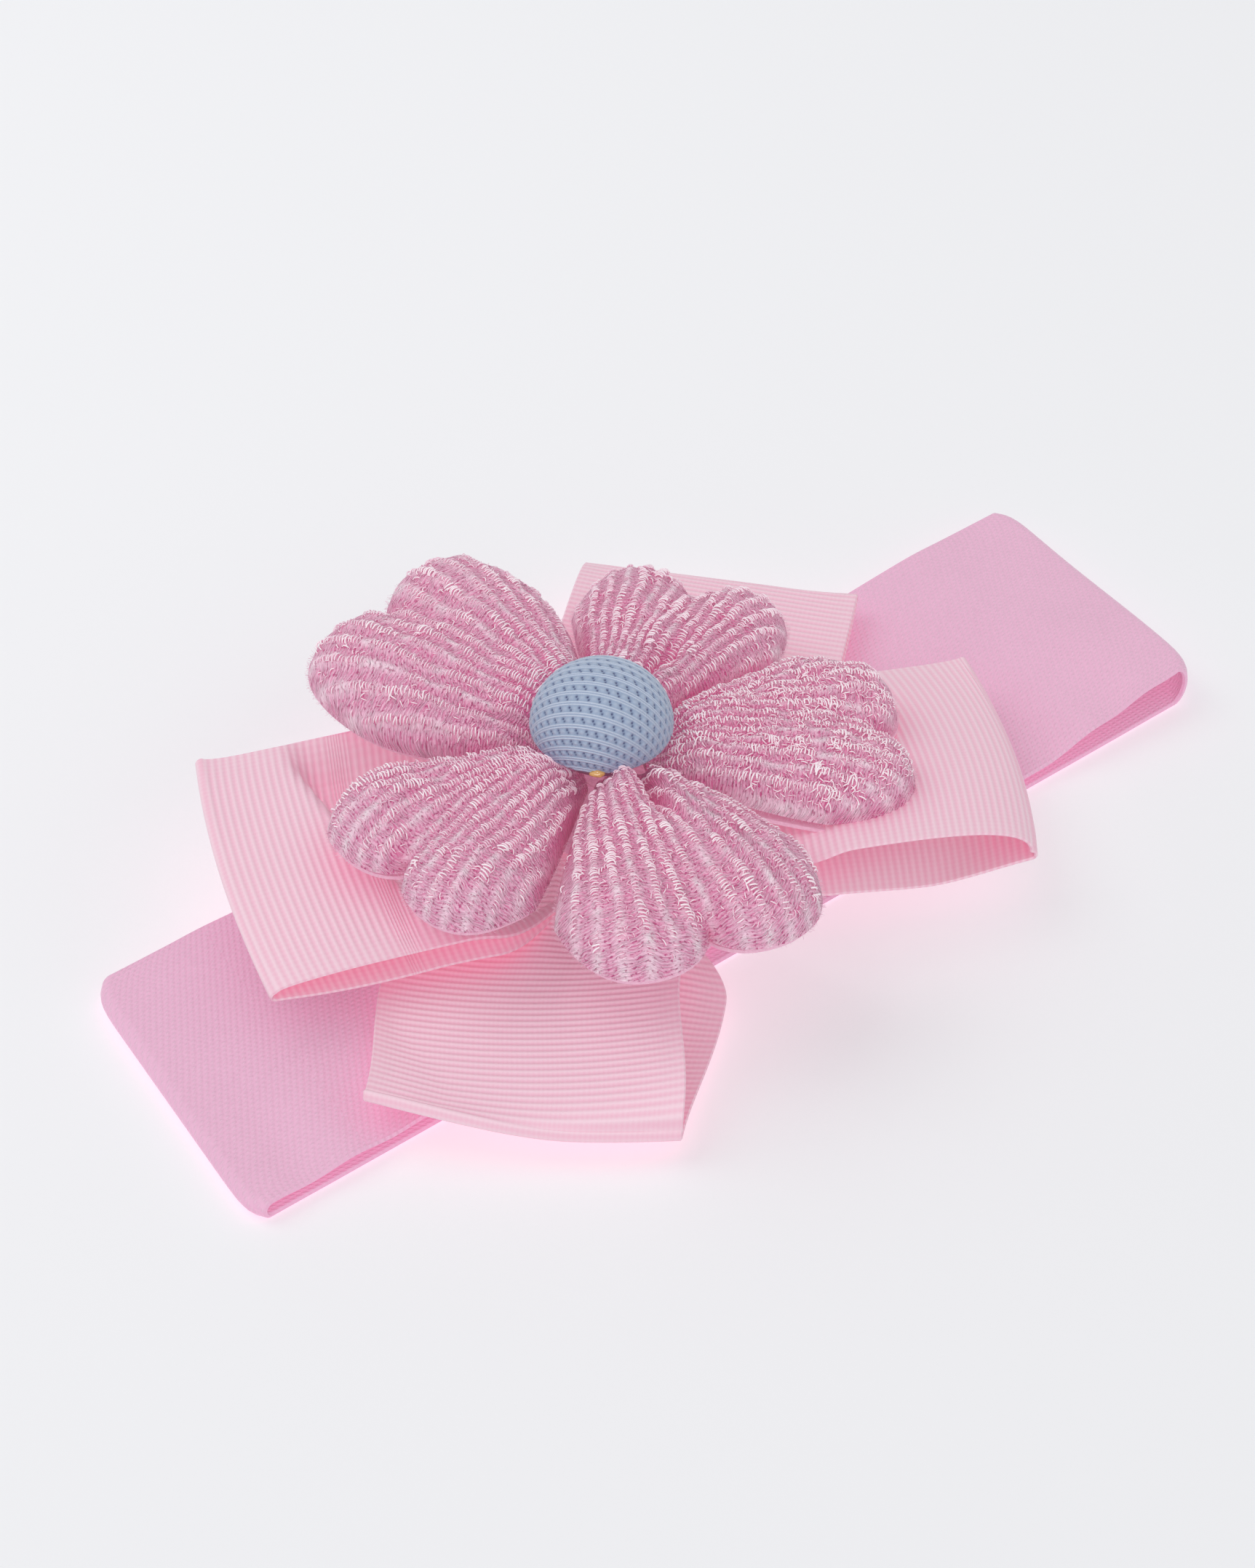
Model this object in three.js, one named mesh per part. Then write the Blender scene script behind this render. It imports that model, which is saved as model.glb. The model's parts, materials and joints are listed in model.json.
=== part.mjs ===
// Child's stretch headband with a crossed ribbon bow, a padded five-petal flower and a covered button.
// Millimetres, +Z up. The band lies flat along X, its underside on Z = 0, its middle on the Z axis.
import * as THREE from 'three';
import * as BufferGeometryUtils from 'three/addons/utils/BufferGeometryUtils.js';

// ---------- driving dimensions ----------
const bandLength = 153.4;        // flat length of the closed loop, fold to fold
const bandWidth = 43;
const bandFabric = 0.7;          // thickness of the stretch fabric
const endGap = 4.6;              // clear height inside the loop at its two ends
const crownGap = 1.2;            // clear height under the bow, whose weight presses the loop flat
const crownHalf = 24;            // half-length of the stiff middle under the bow, which doesn't bend
const pressedHalf = 42;          // where the upper layer starts to rise towards the ends
const levelHalf = 63;            // where it is level again

const bowX = -6;                 // where the two ribbons cross
const bowY = 0.2;
const ribbonWidth = 38;
const ribbonThickness = 0.45;
const waistWidth = 17;           // width of a ribbon where the bow is gathered
const waistReach = 6;            // half-length of the gathered stretch

const flowerX = -7.3;
const flowerY = 3.3;
const petalNotch = 4;            // depth of the notch between a petal's two lobes
const petalHeight = 7.6;         // crown of a stuffed petal above its backing
const coverFabric = 0.7;         // petal front fabric
const backingFabric = 0.6;       // petal back fabric
const petalSideGap = 0.9;        // room left on each side of a petal
const petalRunGap = 0.6;         // room between a petal and its root, for the petal to lift

const buttonRadius = 9.1;
const buttonDome = 8.1;          // equator to top
const buttonUnder = 3.4;         // equator to underside
const buttonFabric = 0.7;

const feltThickness = 0.7;
const bowFeltRadius = 12;
const flowerFeltRadius = 9.6;
const threadSize = 0.5;
const seatGap = 0.3;             // air left between pieces that touch on the real object
const openMax = THREE.MathUtils.degToRad(45);   // how far the band's upper half folds down as it opens

// ---------- heights worked out from the stack ----------
const bandTop = 2 * bandFabric + endGap;
const crownTop = 2 * bandFabric + crownGap;
const bowFeltBase = crownTop + seatGap;
const gatherBase = bowFeltBase + feltThickness + seatGap;
const lowerRibbonBase = gatherBase + threadSize + seatGap;
const waistPitch = ribbonThickness + seatGap;   // one ribbon layer to the next at the gather
const upperRibbonBase = lowerRibbonBase + 2 * waistPitch;
const gatherTop = upperRibbonBase + 2 * waistPitch + threadSize;
const flowerFeltBase = gatherTop + seatGap;
const petalRootBase = flowerFeltBase + feltThickness + seatGap;
const petalRootHeight = 9.4;
const gluePadBase = petalRootBase + petalRootHeight + seatGap;
const gluePadThickness = 0.4;
const buttonBase = gluePadBase + gluePadThickness + seatGap;
const buttonEquator = buttonBase + buttonUnder;
const petalHingeZ = petalRootBase + 5.6;        // backing height where a petal leaves its root

// ---------- colours ----------
const bandPink = new THREE.MeshStandardMaterial({ color: 0xeeb0dc, roughness: 0.9, metalness: 0 });
const ribbonPink = new THREE.MeshStandardMaterial({ color: 0xf9c3dc, roughness: 0.65, metalness: 0 });
const petalPink = new THREE.MeshStandardMaterial({ color: 0xe8a6cb, roughness: 0.7, metalness: 0 });
const backingPink = new THREE.MeshStandardMaterial({ color: 0xf3c4d8, roughness: 0.9, metalness: 0 });
const feltPink = new THREE.MeshStandardMaterial({ color: 0xf0bcd4, roughness: 1, metalness: 0 });
const fillingWhite = new THREE.MeshStandardMaterial({ color: 0xf4f2ee, roughness: 1, metalness: 0 });
const buttonBlue = new THREE.MeshStandardMaterial({ color: 0x9fc0da, roughness: 0.85, metalness: 0 });
const buttonMetal = new THREE.MeshStandardMaterial({ color: 0xc9ccd0, roughness: 0.35, metalness: 1 });
const threadPink = new THREE.MeshStandardMaterial({ color: 0xf2b3cf, roughness: 0.8, metalness: 0 });
const glueAmber = new THREE.MeshStandardMaterial({ color: 0xd9a35c, roughness: 0.3, metalness: 0 });

const headband = new THREE.Group();

function addPiece(parent, name, geometry, material) {
  const piece = new THREE.Mesh(geometry, material);
  piece.name = name;
  parent.add(piece);
  return piece;
}

function smooth(from, to, value) {
  return THREE.MathUtils.smoothstep(value, from, to);
}

// ---------- mesh helpers ----------

// A closed body from a list of [x, y, z] points and a list of polygons that point outwards.
function bodyFrom(points, polygons) {
  const corners = [];
  for (const polygon of polygons) {
    for (let k = 1; k + 1 < polygon.length; k += 1) {
      corners.push(...points[polygon[0]], ...points[polygon[k]], ...points[polygon[k + 1]]);
    }
  }
  const geometry = new THREE.BufferGeometry();
  geometry.setAttribute('position', new THREE.Float32BufferAttribute(corners, 3));
  const merged = BufferGeometryUtils.mergeVertices(geometry, 1e-4);
  merged.computeVertexNormals();
  return merged;
}

// Fabric of even thickness around a closed ring of cross lines, each a row of points across the width.
function fabricRing(rows, thickness) {
  const count = rows.length;
  const across = rows[0].length;
  const points = [];
  for (const side of [0.5, -0.5]) {
    for (let i = 0; i < count; i += 1) {
      for (let j = 0; j < across; j += 1) {
        const along = rows[(i + 1) % count][j].clone().sub(rows[(i + count - 1) % count][j]);
        const over = rows[i][Math.min(j + 1, across - 1)].clone().sub(rows[i][Math.max(j - 1, 0)]);
        const offset = along.cross(over).setLength(side * thickness);
        points.push(rows[i][j].clone().add(offset).toArray());
      }
    }
  }
  const index = (side, i, j) => (side * count + (i % count)) * across + j;
  const polygons = [];
  for (let i = 0; i < count; i += 1) {
    for (let j = 0; j + 1 < across; j += 1) {
      polygons.push([index(0, i, j), index(0, i + 1, j), index(0, i + 1, j + 1), index(0, i, j + 1)]);
      polygons.push([index(1, i, j), index(1, i, j + 1), index(1, i + 1, j + 1), index(1, i + 1, j)]);
    }
    polygons.push([index(0, i, 0), index(1, i, 0), index(1, i + 1, 0), index(0, i + 1, 0)]);
    const last = across - 1;
    polygons.push([index(0, i, last), index(0, i + 1, last), index(1, i + 1, last), index(1, i, last)]);
  }
  return bodyFrom(points, polygons);
}

// ---------- band ----------

// A strip of band in the XZ plane, swept across the width.
function bandStrip(shape) {
  const geometry = new THREE.ExtrudeGeometry(shape, {
    depth: bandWidth, bevelEnabled: false, curveSegments: 6,
  });
  geometry.rotateX(Math.PI / 2);
  geometry.translate(0, bandWidth / 2, 0);
  return geometry;
}

const half = bandFabric / 2;
const foldX = bandLength / 2 - bandTop / 2;     // centre of the rounded fold at each end
const upperMid = bandTop - half;
const crownMid = crownTop - half;
const foldHingeX = foldX - half - seatGap;      // living hinge where the upper layer meets the fold
const lowerRun = foldHingeX - seatGap / 2;
const layerPitch = bandTop - bandFabric;

// Slope of the lower layer at which the two halves meet again when the loop is fully open.
function meetingSlope() {
  const armRun = foldHingeX - crownHalf;
  const armRise = upperMid - crownMid;
  const foldedRun = armRun * Math.cos(openMax) + armRise * Math.sin(openMax);
  const reach = Math.hypot(lowerRun, layerPitch);
  return Math.acos((lowerRun - armRun + foldedRun) / reach) - Math.atan2(layerPitch, lowerRun);
}
const seamBevel = bandFabric * Math.tan(meetingSlope());

// Upper layer between the two bends; the bow is sewn to it.
function crownShape() {
  const edge = crownHalf - half - seatGap;
  const shape = new THREE.Shape();
  shape.moveTo(-edge, crownTop - bandFabric);
  shape.lineTo(edge, crownTop - bandFabric);
  shape.lineTo(edge, crownTop);
  shape.lineTo(-edge, crownTop);
  shape.closePath();
  return shape;
}

// Height of the upper layer's top face at a distance from the band's middle.
function bandTopAt(x) {
  return THREE.MathUtils.lerp(crownTop, bandTop, smooth(pressedHalf, levelHalf, Math.abs(x)));
}

// Upper layer from the bend at the crown out to the fold, round at both ends where it bends.
function upperArmShape() {
  const rise = [];
  const riseSteps = 8;
  for (let k = 0; k <= riseSteps; k += 1) {
    rise.push(THREE.MathUtils.lerp(pressedHalf, levelHalf, k / riseSteps));
  }
  const shape = new THREE.Shape();
  shape.moveTo(crownHalf, crownTop - bandFabric);
  rise.forEach((x) => shape.lineTo(x, bandTopAt(x) - bandFabric));
  shape.lineTo(foldHingeX, bandTop - bandFabric);
  shape.absarc(foldHingeX, upperMid, half, -Math.PI / 2, Math.PI / 2, false);
  rise.reverse().forEach((x) => shape.lineTo(x, bandTopAt(x)));
  shape.lineTo(crownHalf, crownTop);
  shape.absarc(crownHalf, crownMid, half, Math.PI / 2, Math.PI * 1.5, false);
  return shape;
}

// Lower layer from the seam out to the end, and up round the fold. Its end at the seam is cut at the
// slope where the two halves meet when the loop is open.
function lowerArmShape() {
  const shape = new THREE.Shape();
  shape.moveTo(seatGap / 2, 0);
  shape.lineTo(foldX, 0);
  shape.absarc(foldX, bandTop / 2, bandTop / 2, -Math.PI / 2, Math.PI / 2, false);
  shape.lineTo(foldX, bandTop - bandFabric);
  shape.absarc(foldX, bandTop / 2, endGap / 2, Math.PI / 2, -Math.PI / 2, true);
  shape.lineTo(seatGap / 2 + seamBevel, bandFabric);
  shape.closePath();
  return shape;
}

// The same shape on the other side of the band's middle.
function mirrored(shape) {
  const points = shape.getPoints(6).map((point) => new THREE.Vector2(-point.x, point.y));
  return new THREE.Shape(points.reverse());
}

addPiece(headband, 'band_crown', bandStrip(crownShape()), bandPink);
addPiece(headband, 'band_upper_right', bandStrip(upperArmShape()), bandPink);
addPiece(headband, 'band_upper_left', bandStrip(mirrored(upperArmShape())), bandPink);
addPiece(headband, 'band_lower_right', bandStrip(lowerArmShape()), bandPink);
addPiece(headband, 'band_lower_left', bandStrip(mirrored(lowerArmShape())), bandPink);

// Row of overlock stitching beside the seam, on the inner face of the lower layer.
const stitchLength = bandWidth - 2;
const seamStitch = new THREE.BoxGeometry(1.6, stitchLength, threadSize);
const seamStitching = addPiece(headband, 'band_seam_stitching', seamStitch, threadPink);
seamStitching.position.set(-seamBevel - 2, 0, bandFabric + seatGap + threadSize / 2);

// ---------- bow ----------

// Each loop runs out from its own gathered middle. `left` and `right` hold, for its two edges as seen
// from the middle, how far the loop reaches, how high its lower layer lies over the band, how far that
// layer droops past the band's edge, and how high the top layer stands.
const loopsOfLowerRibbon = [
  {
    x: bowX - 4.1, y: bowY + 1.5, heading: 222.5,
    left: { reach: 46.6, lift: 0.4, droop: 1.3, crest: 9.6 },
    right: { reach: 50, lift: 0.8, droop: 0, crest: 5.2 },
  },
  {
    x: bowX + 1.7, y: bowY - 3, heading: 40.7,
    left: { reach: 51.6, lift: 2.2, droop: 0, crest: 10 },
    right: { reach: 52.2, lift: 2, droop: 0, crest: 7 },
  },
];
const loopsOfUpperRibbon = [
  {
    x: bowX, y: bowY, heading: 160,
    left: { reach: 51, lift: 3.4, droop: 0, crest: 11.8 },
    right: { reach: 51, lift: 11.6, droop: 0, crest: 15.6 },
  },
  {
    x: bowX, y: bowY, heading: -25.8,
    left: { reach: 50.4, lift: 5.4, droop: 0, crest: 9.8 },
    right: { reach: 49.6, lift: 6.4, droop: 0.6, crest: 14.8 },
  },
];
const foldHeight = 1.3;          // height of a ribbon's fold at the end of a loop
const runSteps = 10;
const acrossSteps = Math.ceil(ribbonWidth / 6.4);   // a wider ribbon follows the band as closely

// The row of points across a loop, `run` of the way from its gathered middle to its fold.
function ribbonRow(loop, run, onTop, waistHeight) {
  const heading = THREE.MathUtils.degToRad(loop.heading);
  const row = [];
  for (let j = 0; j <= acrossSteps; j += 1) {
    const across = 1 - (2 * j) / acrossSteps;          // 1 on the left edge, -1 on the right
    const side = (key) => THREE.MathUtils.lerp(loop.right[key], loop.left[key], (across + 1) / 2);
    const along = THREE.MathUtils.lerp(waistReach, side('reach'), run);
    const spread = smooth(waistReach, ribbonWidth * 0.6, along);
    const wide = THREE.MathUtils.lerp(waistWidth, ribbonWidth, spread) / 2;
    const x = loop.x + along * Math.cos(heading) - across * wide * Math.sin(heading);
    const y = loop.y + along * Math.sin(heading) + across * wide * Math.cos(heading);
    const pastBand = smooth(bandWidth / 2, bandWidth / 2 + 12, Math.abs(y));
    const settle = smooth(waistReach, ribbonWidth * 0.65, along);
    const bandBelow = bandTopAt(x + Math.cos(heading) * foldHeight / 2);
    const lying = bandBelow + side('lift') + ribbonThickness / 2 - side('droop') * pastBand;
    const low = THREE.MathUtils.lerp(waistHeight, lying, settle);
    const lean = ((across + 1) / 2) ** 2;
    const crest = THREE.MathUtils.lerp(loop.right.crest, loop.left.crest, lean);
    const puffed = THREE.MathUtils.lerp(waistHeight + waistPitch, crest, smooth(0.05, 0.6, run));
    const closing = Math.sqrt(1 - run ** 8);
    const high = THREE.MathUtils.lerp(low + foldHeight, puffed, closing);
    row.push(new THREE.Vector3(x, y, onTop ? high : low));
  }
  return row;
}

// One ribbon: out along the first loop's lower layer, back over its top, then the same round the second.
function ribbon(loops, base) {
  const waistHeight = base + ribbonThickness / 2;
  const rows = [];
  loops.forEach((loop, number) => {
    const lower = [];
    const upper = [];
    for (let i = 0; i <= runSteps; i += 1) {
      const run = Math.sin((Math.PI / 2) * (i / runSteps));
      lower.push(ribbonRow(loop, run, false, waistHeight));
      upper.push(ribbonRow(loop, run, true, waistHeight));
    }
    const turn = foldRow(lower[runSteps], upper[runSteps], loop);
    if (number === 0) {
      rows.push(...lower, ...turn, ...upper.reverse());
    } else {
      const flip = (row) => row.reverse();
      rows.push(...upper.map(flip), ...turn.reverse().map(flip), ...lower.reverse().map(flip));
    }
  });
  return fabricRing(rows, ribbonThickness);
}

// The rounded fold at a loop's end: half a turn from the lower layer to the upper one.
function foldRow(low, high, loop) {
  const heading = THREE.MathUtils.degToRad(loop.heading);
  const outward = new THREE.Vector3(Math.cos(heading), Math.sin(heading), 0);
  const turns = [];
  for (const angle of [-0.3, 0, 0.3].map((part) => part * Math.PI)) {
    turns.push(low.map((point, j) => {
      const middle = point.clone().lerp(high[j], 0.5);
      const radius = Math.min(point.distanceTo(high[j]) / 2, 3);
      const rise = (point.distanceTo(high[j]) / 2) * Math.sin(angle);
      return middle.addScaledVector(outward, radius * Math.cos(angle)).add(new THREE.Vector3(0, 0, rise));
    }));
  }
  return turns;
}

addPiece(headband, 'ribbon_front_back', ribbon(loopsOfLowerRibbon, lowerRibbonBase), ribbonPink);
addPiece(headband, 'ribbon_left_right', ribbon(loopsOfUpperRibbon, upperRibbonBase), ribbonPink);

// Felt pad between the band and the bow.
const bowFelt = new THREE.CylinderGeometry(bowFeltRadius, bowFeltRadius, feltThickness, 28);
bowFelt.rotateX(Math.PI / 2);
const bowFeltPad = addPiece(headband, 'bow_felt_pad', bowFelt, feltPink);
bowFeltPad.position.set(bowX, bowY, bowFeltBase + feltThickness / 2);

// Thread wrapped round both gathered middles, standing in the wide corners of the cross.
const wrapSpan = 2 * (waistWidth / 2 + 5);
const wrapHeight = gatherTop - gatherBase;
function wrapShape() {
  const outline = new THREE.Shape();
  outline.moveTo(-wrapSpan / 2, 0);
  outline.lineTo(wrapSpan / 2, 0);
  outline.lineTo(wrapSpan / 2, wrapHeight);
  outline.lineTo(-wrapSpan / 2, wrapHeight);
  outline.closePath();
  const hole = new THREE.Path();
  hole.moveTo(-wrapSpan / 2 + threadSize, threadSize);
  hole.lineTo(-wrapSpan / 2 + threadSize, wrapHeight - threadSize);
  hole.lineTo(wrapSpan / 2 - threadSize, wrapHeight - threadSize);
  hole.lineTo(wrapSpan / 2 - threadSize, threadSize);
  hole.closePath();
  outline.holes.push(hole);
  return outline;
}
const wrap = new THREE.ExtrudeGeometry(wrapShape(), { depth: threadSize * 3, bevelEnabled: false });
wrap.translate(0, 0, -threadSize * 1.5);
wrap.rotateX(Math.PI / 2);
const bowThread = addPiece(headband, 'bow_gather_thread', wrap, threadPink);
bowThread.position.set(bowX, bowY, gatherBase);
bowThread.rotation.z = THREE.MathUtils.degToRad(98);

// ---------- flower ----------

const flower = new THREE.Group();
flower.position.set(flowerX, flowerY, 0);
headband.add(flower);

const flowerFelt = new THREE.CylinderGeometry(flowerFeltRadius, flowerFeltRadius, feltThickness, 28);
flowerFelt.rotateX(Math.PI / 2);
addPiece(flower, 'flower_felt_base', flowerFelt, feltPink).position.z = flowerFeltBase + feltThickness / 2;

const petalHingeRadius = buttonRadius + seatGap;
const rootOuter = petalHingeRadius - petalRunGap;
const petals = [
  { heading: 103, spread: 42, length: 40.5, halfWidth: 17.5, pitch: 8 },
  { heading: 31.5, spread: 29.5, length: 40.5, halfWidth: 16, pitch: -2.5 },
  { heading: -30.5, spread: 32.5, length: 39.5, halfWidth: 14.6, pitch: 1 },
  { heading: -106.5, spread: 34.5, length: 41, halfWidth: 17, pitch: 4 },
  { heading: -174.5, spread: 31.5, length: 36.8, halfWidth: 16, pitch: 7 },
];

// Outline of a heart-shaped petal from its root, X outwards from the root's edge.
function petalOutline(petal) {
  const slope = Math.tan(THREE.MathUtils.degToRad(petal.spread));
  const sideAt = (x) => Math.min((x + petalHingeRadius) * slope - petalSideGap, petal.halfWidth);
  const length = petal.length - petalHingeRadius;
  const root = Math.min(sideAt(0.5), 5);
  const outline = new THREE.Shape();
  outline.moveTo(0, -root * 0.6);
  outline.bezierCurveTo(length * 0.12, -sideAt(length * 0.12), length * 0.28, -sideAt(length * 0.3),
    length * 0.58, -sideAt(length * 0.58));
  outline.bezierCurveTo(length * 0.82, -sideAt(length * 0.58), length, -petal.halfWidth * 0.85,
    length, -petal.halfWidth * 0.45);
  outline.quadraticCurveTo(length, -petal.halfWidth * 0.12, length - petalNotch, 0);
  outline.quadraticCurveTo(length, petal.halfWidth * 0.12, length, petal.halfWidth * 0.45);
  outline.bezierCurveTo(length, petal.halfWidth * 0.85, length * 0.82, sideAt(length * 0.58),
    length * 0.58, sideAt(length * 0.58));
  outline.bezierCurveTo(length * 0.28, sideAt(length * 0.3), length * 0.12, sideAt(length * 0.12),
    0, root * 0.6);
  outline.closePath();
  return outline.getSpacedPoints(26).slice(0, -1);
}

const frontBase = backingFabric + seatGap;
const domeSteps = 4;

// The point that a petal's dome rises over, from its hinge.
const petalMiddle = (petal) => (petal.length - petalHingeRadius) * 0.56;

// The outline drawn in by a distance, towards the petal's middle.
function drawnIn(outline, middle, distance) {
  return outline.map((point) => {
    const arm = new THREE.Vector2(point.x - middle, point.y);
    arm.setLength(arm.length() - distance);
    return new THREE.Vector2(middle + arm.x, arm.y);
  });
}

// Rings of a dome over the outline, from its rim to its crown, as point indices.
function domeRings(points, outline, middle, height) {
  const rings = [];
  for (let k = 0; k < domeSteps; k += 1) {
    const shrink = Math.cos((Math.PI / 2) * (k / domeSteps));
    const rise = height * Math.sin((Math.PI / 2) * (k / domeSteps)) ** 1.2;
    rings.push(outline.map((point) => {
      const x = middle + (point.x - middle) * shrink;
      return points.push([x, point.y * shrink, frontBase + rise]) - 1;
    }));
  }
  const crown = points.push([middle, 0, frontBase + height]) - 1;
  return { rings, crown };
}

function domeFaces(dome, outwards) {
  const faces = [];
  const count = dome.rings[0].length;
  const add = (face) => faces.push(outwards ? face : face.reverse());
  for (let k = 0; k < dome.rings.length; k += 1) {
    for (let i = 0; i < count; i += 1) {
      const next = (i + 1) % count;
      if (k + 1 < dome.rings.length) {
        add([dome.rings[k][i], dome.rings[k][next], dome.rings[k + 1][next], dome.rings[k + 1][i]]);
      } else {
        add([dome.rings[k][i], dome.rings[k][next], dome.crown]);
      }
    }
  }
  return faces;
}

const fillingInset = coverFabric + 0.65;        // the dome's slope takes up half of this room

// Front fabric: an open shell over the filling.
function petalFront(outline, middle) {
  const points = [];
  const outer = domeRings(points, outline, middle, petalHeight);
  const inner = domeRings(points, drawnIn(outline, middle, coverFabric), middle, petalHeight - coverFabric);
  const faces = [...domeFaces(outer, true), ...domeFaces(inner, false)];
  const count = outline.length;
  for (let i = 0; i < count; i += 1) {
    const next = (i + 1) % count;
    faces.push([outer.rings[0][next], outer.rings[0][i], inner.rings[0][i], inner.rings[0][next]]);
  }
  return bodyFrom(points, faces);
}

// Polyester filling: a solid dome inside the front, standing on the backing.
function petalFilling(outline, middle) {
  const points = [];
  const inset = drawnIn(outline, middle, fillingInset);
  const dome = domeRings(points, inset, middle, petalHeight - fillingInset);
  const foot = points.push([middle, 0, frontBase]) - 1;
  const faces = domeFaces(dome, true);
  const rim = dome.rings[0];
  for (let i = 0; i < rim.length; i += 1) {
    faces.push([rim[(i + 1) % rim.length], rim[i], foot]);
  }
  return bodyFrom(points, faces);
}

// Gathered root of a petal, tucked under the button: a wedge between two radii.
const rootInner = 3.1;
function petalRoot(petal) {
  const reach = THREE.MathUtils.degToRad(petal.spread) - 0.08;
  const shape = new THREE.Shape();
  shape.absarc(0, 0, rootOuter, -reach, reach, false);
  shape.absarc(0, 0, rootInner, reach, -reach, true);
  shape.closePath();
  return new THREE.ExtrudeGeometry(shape, {
    depth: petalRootHeight, bevelEnabled: false, curveSegments: 5,
  });
}

petals.forEach((petal, number) => {
  const name = `petal_${number + 1}`;
  const outline = petalOutline(petal);
  const turned = new THREE.Group();
  turned.rotation.z = THREE.MathUtils.degToRad(petal.heading);
  flower.add(turned);
  addPiece(turned, `${name}_root`, petalRoot(petal), petalPink).position.z = petalRootBase;

  const pad = new THREE.Group();
  pad.position.set(petalHingeRadius, 0, petalHingeZ);
  pad.rotation.y = -THREE.MathUtils.degToRad(petal.pitch);
  turned.add(pad);
  const backing = new THREE.ExtrudeGeometry(new THREE.Shape(outline), {
    depth: backingFabric, bevelEnabled: false, curveSegments: 1,
  });
  addPiece(pad, `${name}_back`, backing, backingPink);
  addPiece(pad, `${name}_front`, petalFront(outline, petalMiddle(petal)), petalPink);
  addPiece(pad, `${name}_filling`, petalFilling(outline, petalMiddle(petal)), fillingWhite);
});

// Thread that strings the five roots together, drawn tight in the middle.
const stringRadius = rootInner - seatGap - threadSize / 2;
const petalString = new THREE.TorusGeometry(stringRadius, threadSize / 2, 8, 24);
addPiece(flower, 'petal_gather_thread', petalString, threadPink).position.z =
  petalRootBase + petalRootHeight / 2;

// ---------- button ----------

const turnSteps = 28;

// A body of revolution from [radius, height] pairs that start and end on the axis or close.
function turnedBody(profile) {
  const points = profile.map(([radius, height]) => new THREE.Vector2(radius, height));
  const geometry = new THREE.LatheGeometry(points, turnSteps);
  geometry.rotateX(Math.PI / 2);
  return geometry;
}

// Quarter ellipse from the equator to the top, or from the bottom up to the equator.
function quarter(radius, height, steps, upwards) {
  const pairs = [];
  for (let k = 0; k <= steps; k += 1) {
    const angle = (Math.PI / 2) * (upwards ? k / steps : 1 - k / steps);
    pairs.push([radius * Math.cos(angle), (upwards ? 1 : -1) * height * Math.sin(angle)]);
  }
  return pairs;
}

const shellRadius = buttonRadius - buttonFabric - seatGap;
const shellDome = buttonDome - buttonFabric - seatGap;
const shellWall = 0.6;
const coverMouth = buttonRadius * 0.72;         // the cover's raw edge is drawn in under the button

function coverProfile() {
  const under = quarter(buttonRadius, buttonUnder, 6, false).filter(([radius]) => radius > coverMouth);
  const underInside = quarter(shellRadius + seatGap, buttonUnder - buttonFabric, 6, false)
    .filter(([radius]) => radius > coverMouth);
  const profile = [
    ...under,
    ...quarter(buttonRadius, buttonDome, 6, true).slice(1),
    ...quarter(shellRadius + seatGap, buttonDome - buttonFabric, 6, true).reverse(),
    ...underInside.reverse().slice(1),
  ];
  profile.push(profile[0]);
  return profile;
}

function shellProfile() {
  const outside = quarter(shellRadius, shellDome, 6, true);
  const inside = quarter(shellRadius - shellWall, shellDome - shellWall, 6, true).reverse();
  return [...outside, ...inside, outside[0]];
}

const button = new THREE.Group();
button.position.z = buttonEquator;
flower.add(button);
addPiece(button, 'button_cover', turnedBody(coverProfile()), buttonBlue);
addPiece(button, 'button_shell', turnedBody(shellProfile()), buttonMetal);

const plateThickness = 1;
const plateRadius = coverMouth - seatGap;
const plate = new THREE.CylinderGeometry(plateRadius, plateRadius, plateThickness, turnSteps);
plate.rotateX(Math.PI / 2);
addPiece(button, 'button_back_plate', plate, buttonMetal).position.z = -buttonUnder + plateThickness / 2;

const glueRadius = plateRadius * 0.8;
const gluePad = new THREE.CylinderGeometry(glueRadius, glueRadius, gluePadThickness, turnSteps);
gluePad.rotateX(Math.PI / 2);
addPiece(flower, 'button_glue_pad', gluePad, glueAmber).position.z = gluePadBase + gluePadThickness / 2;

const bead = new THREE.SphereGeometry(0.8, 12, 8);
const glueBead = addPiece(flower, 'glue_bead', bead, glueAmber);
const beadHeading = THREE.MathUtils.degToRad(-133);
const beadRadius = buttonRadius * 0.86;
glueBead.position.set(beadRadius * Math.cos(beadHeading), beadRadius * Math.sin(beadHeading), buttonBase);

export default headband;
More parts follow.
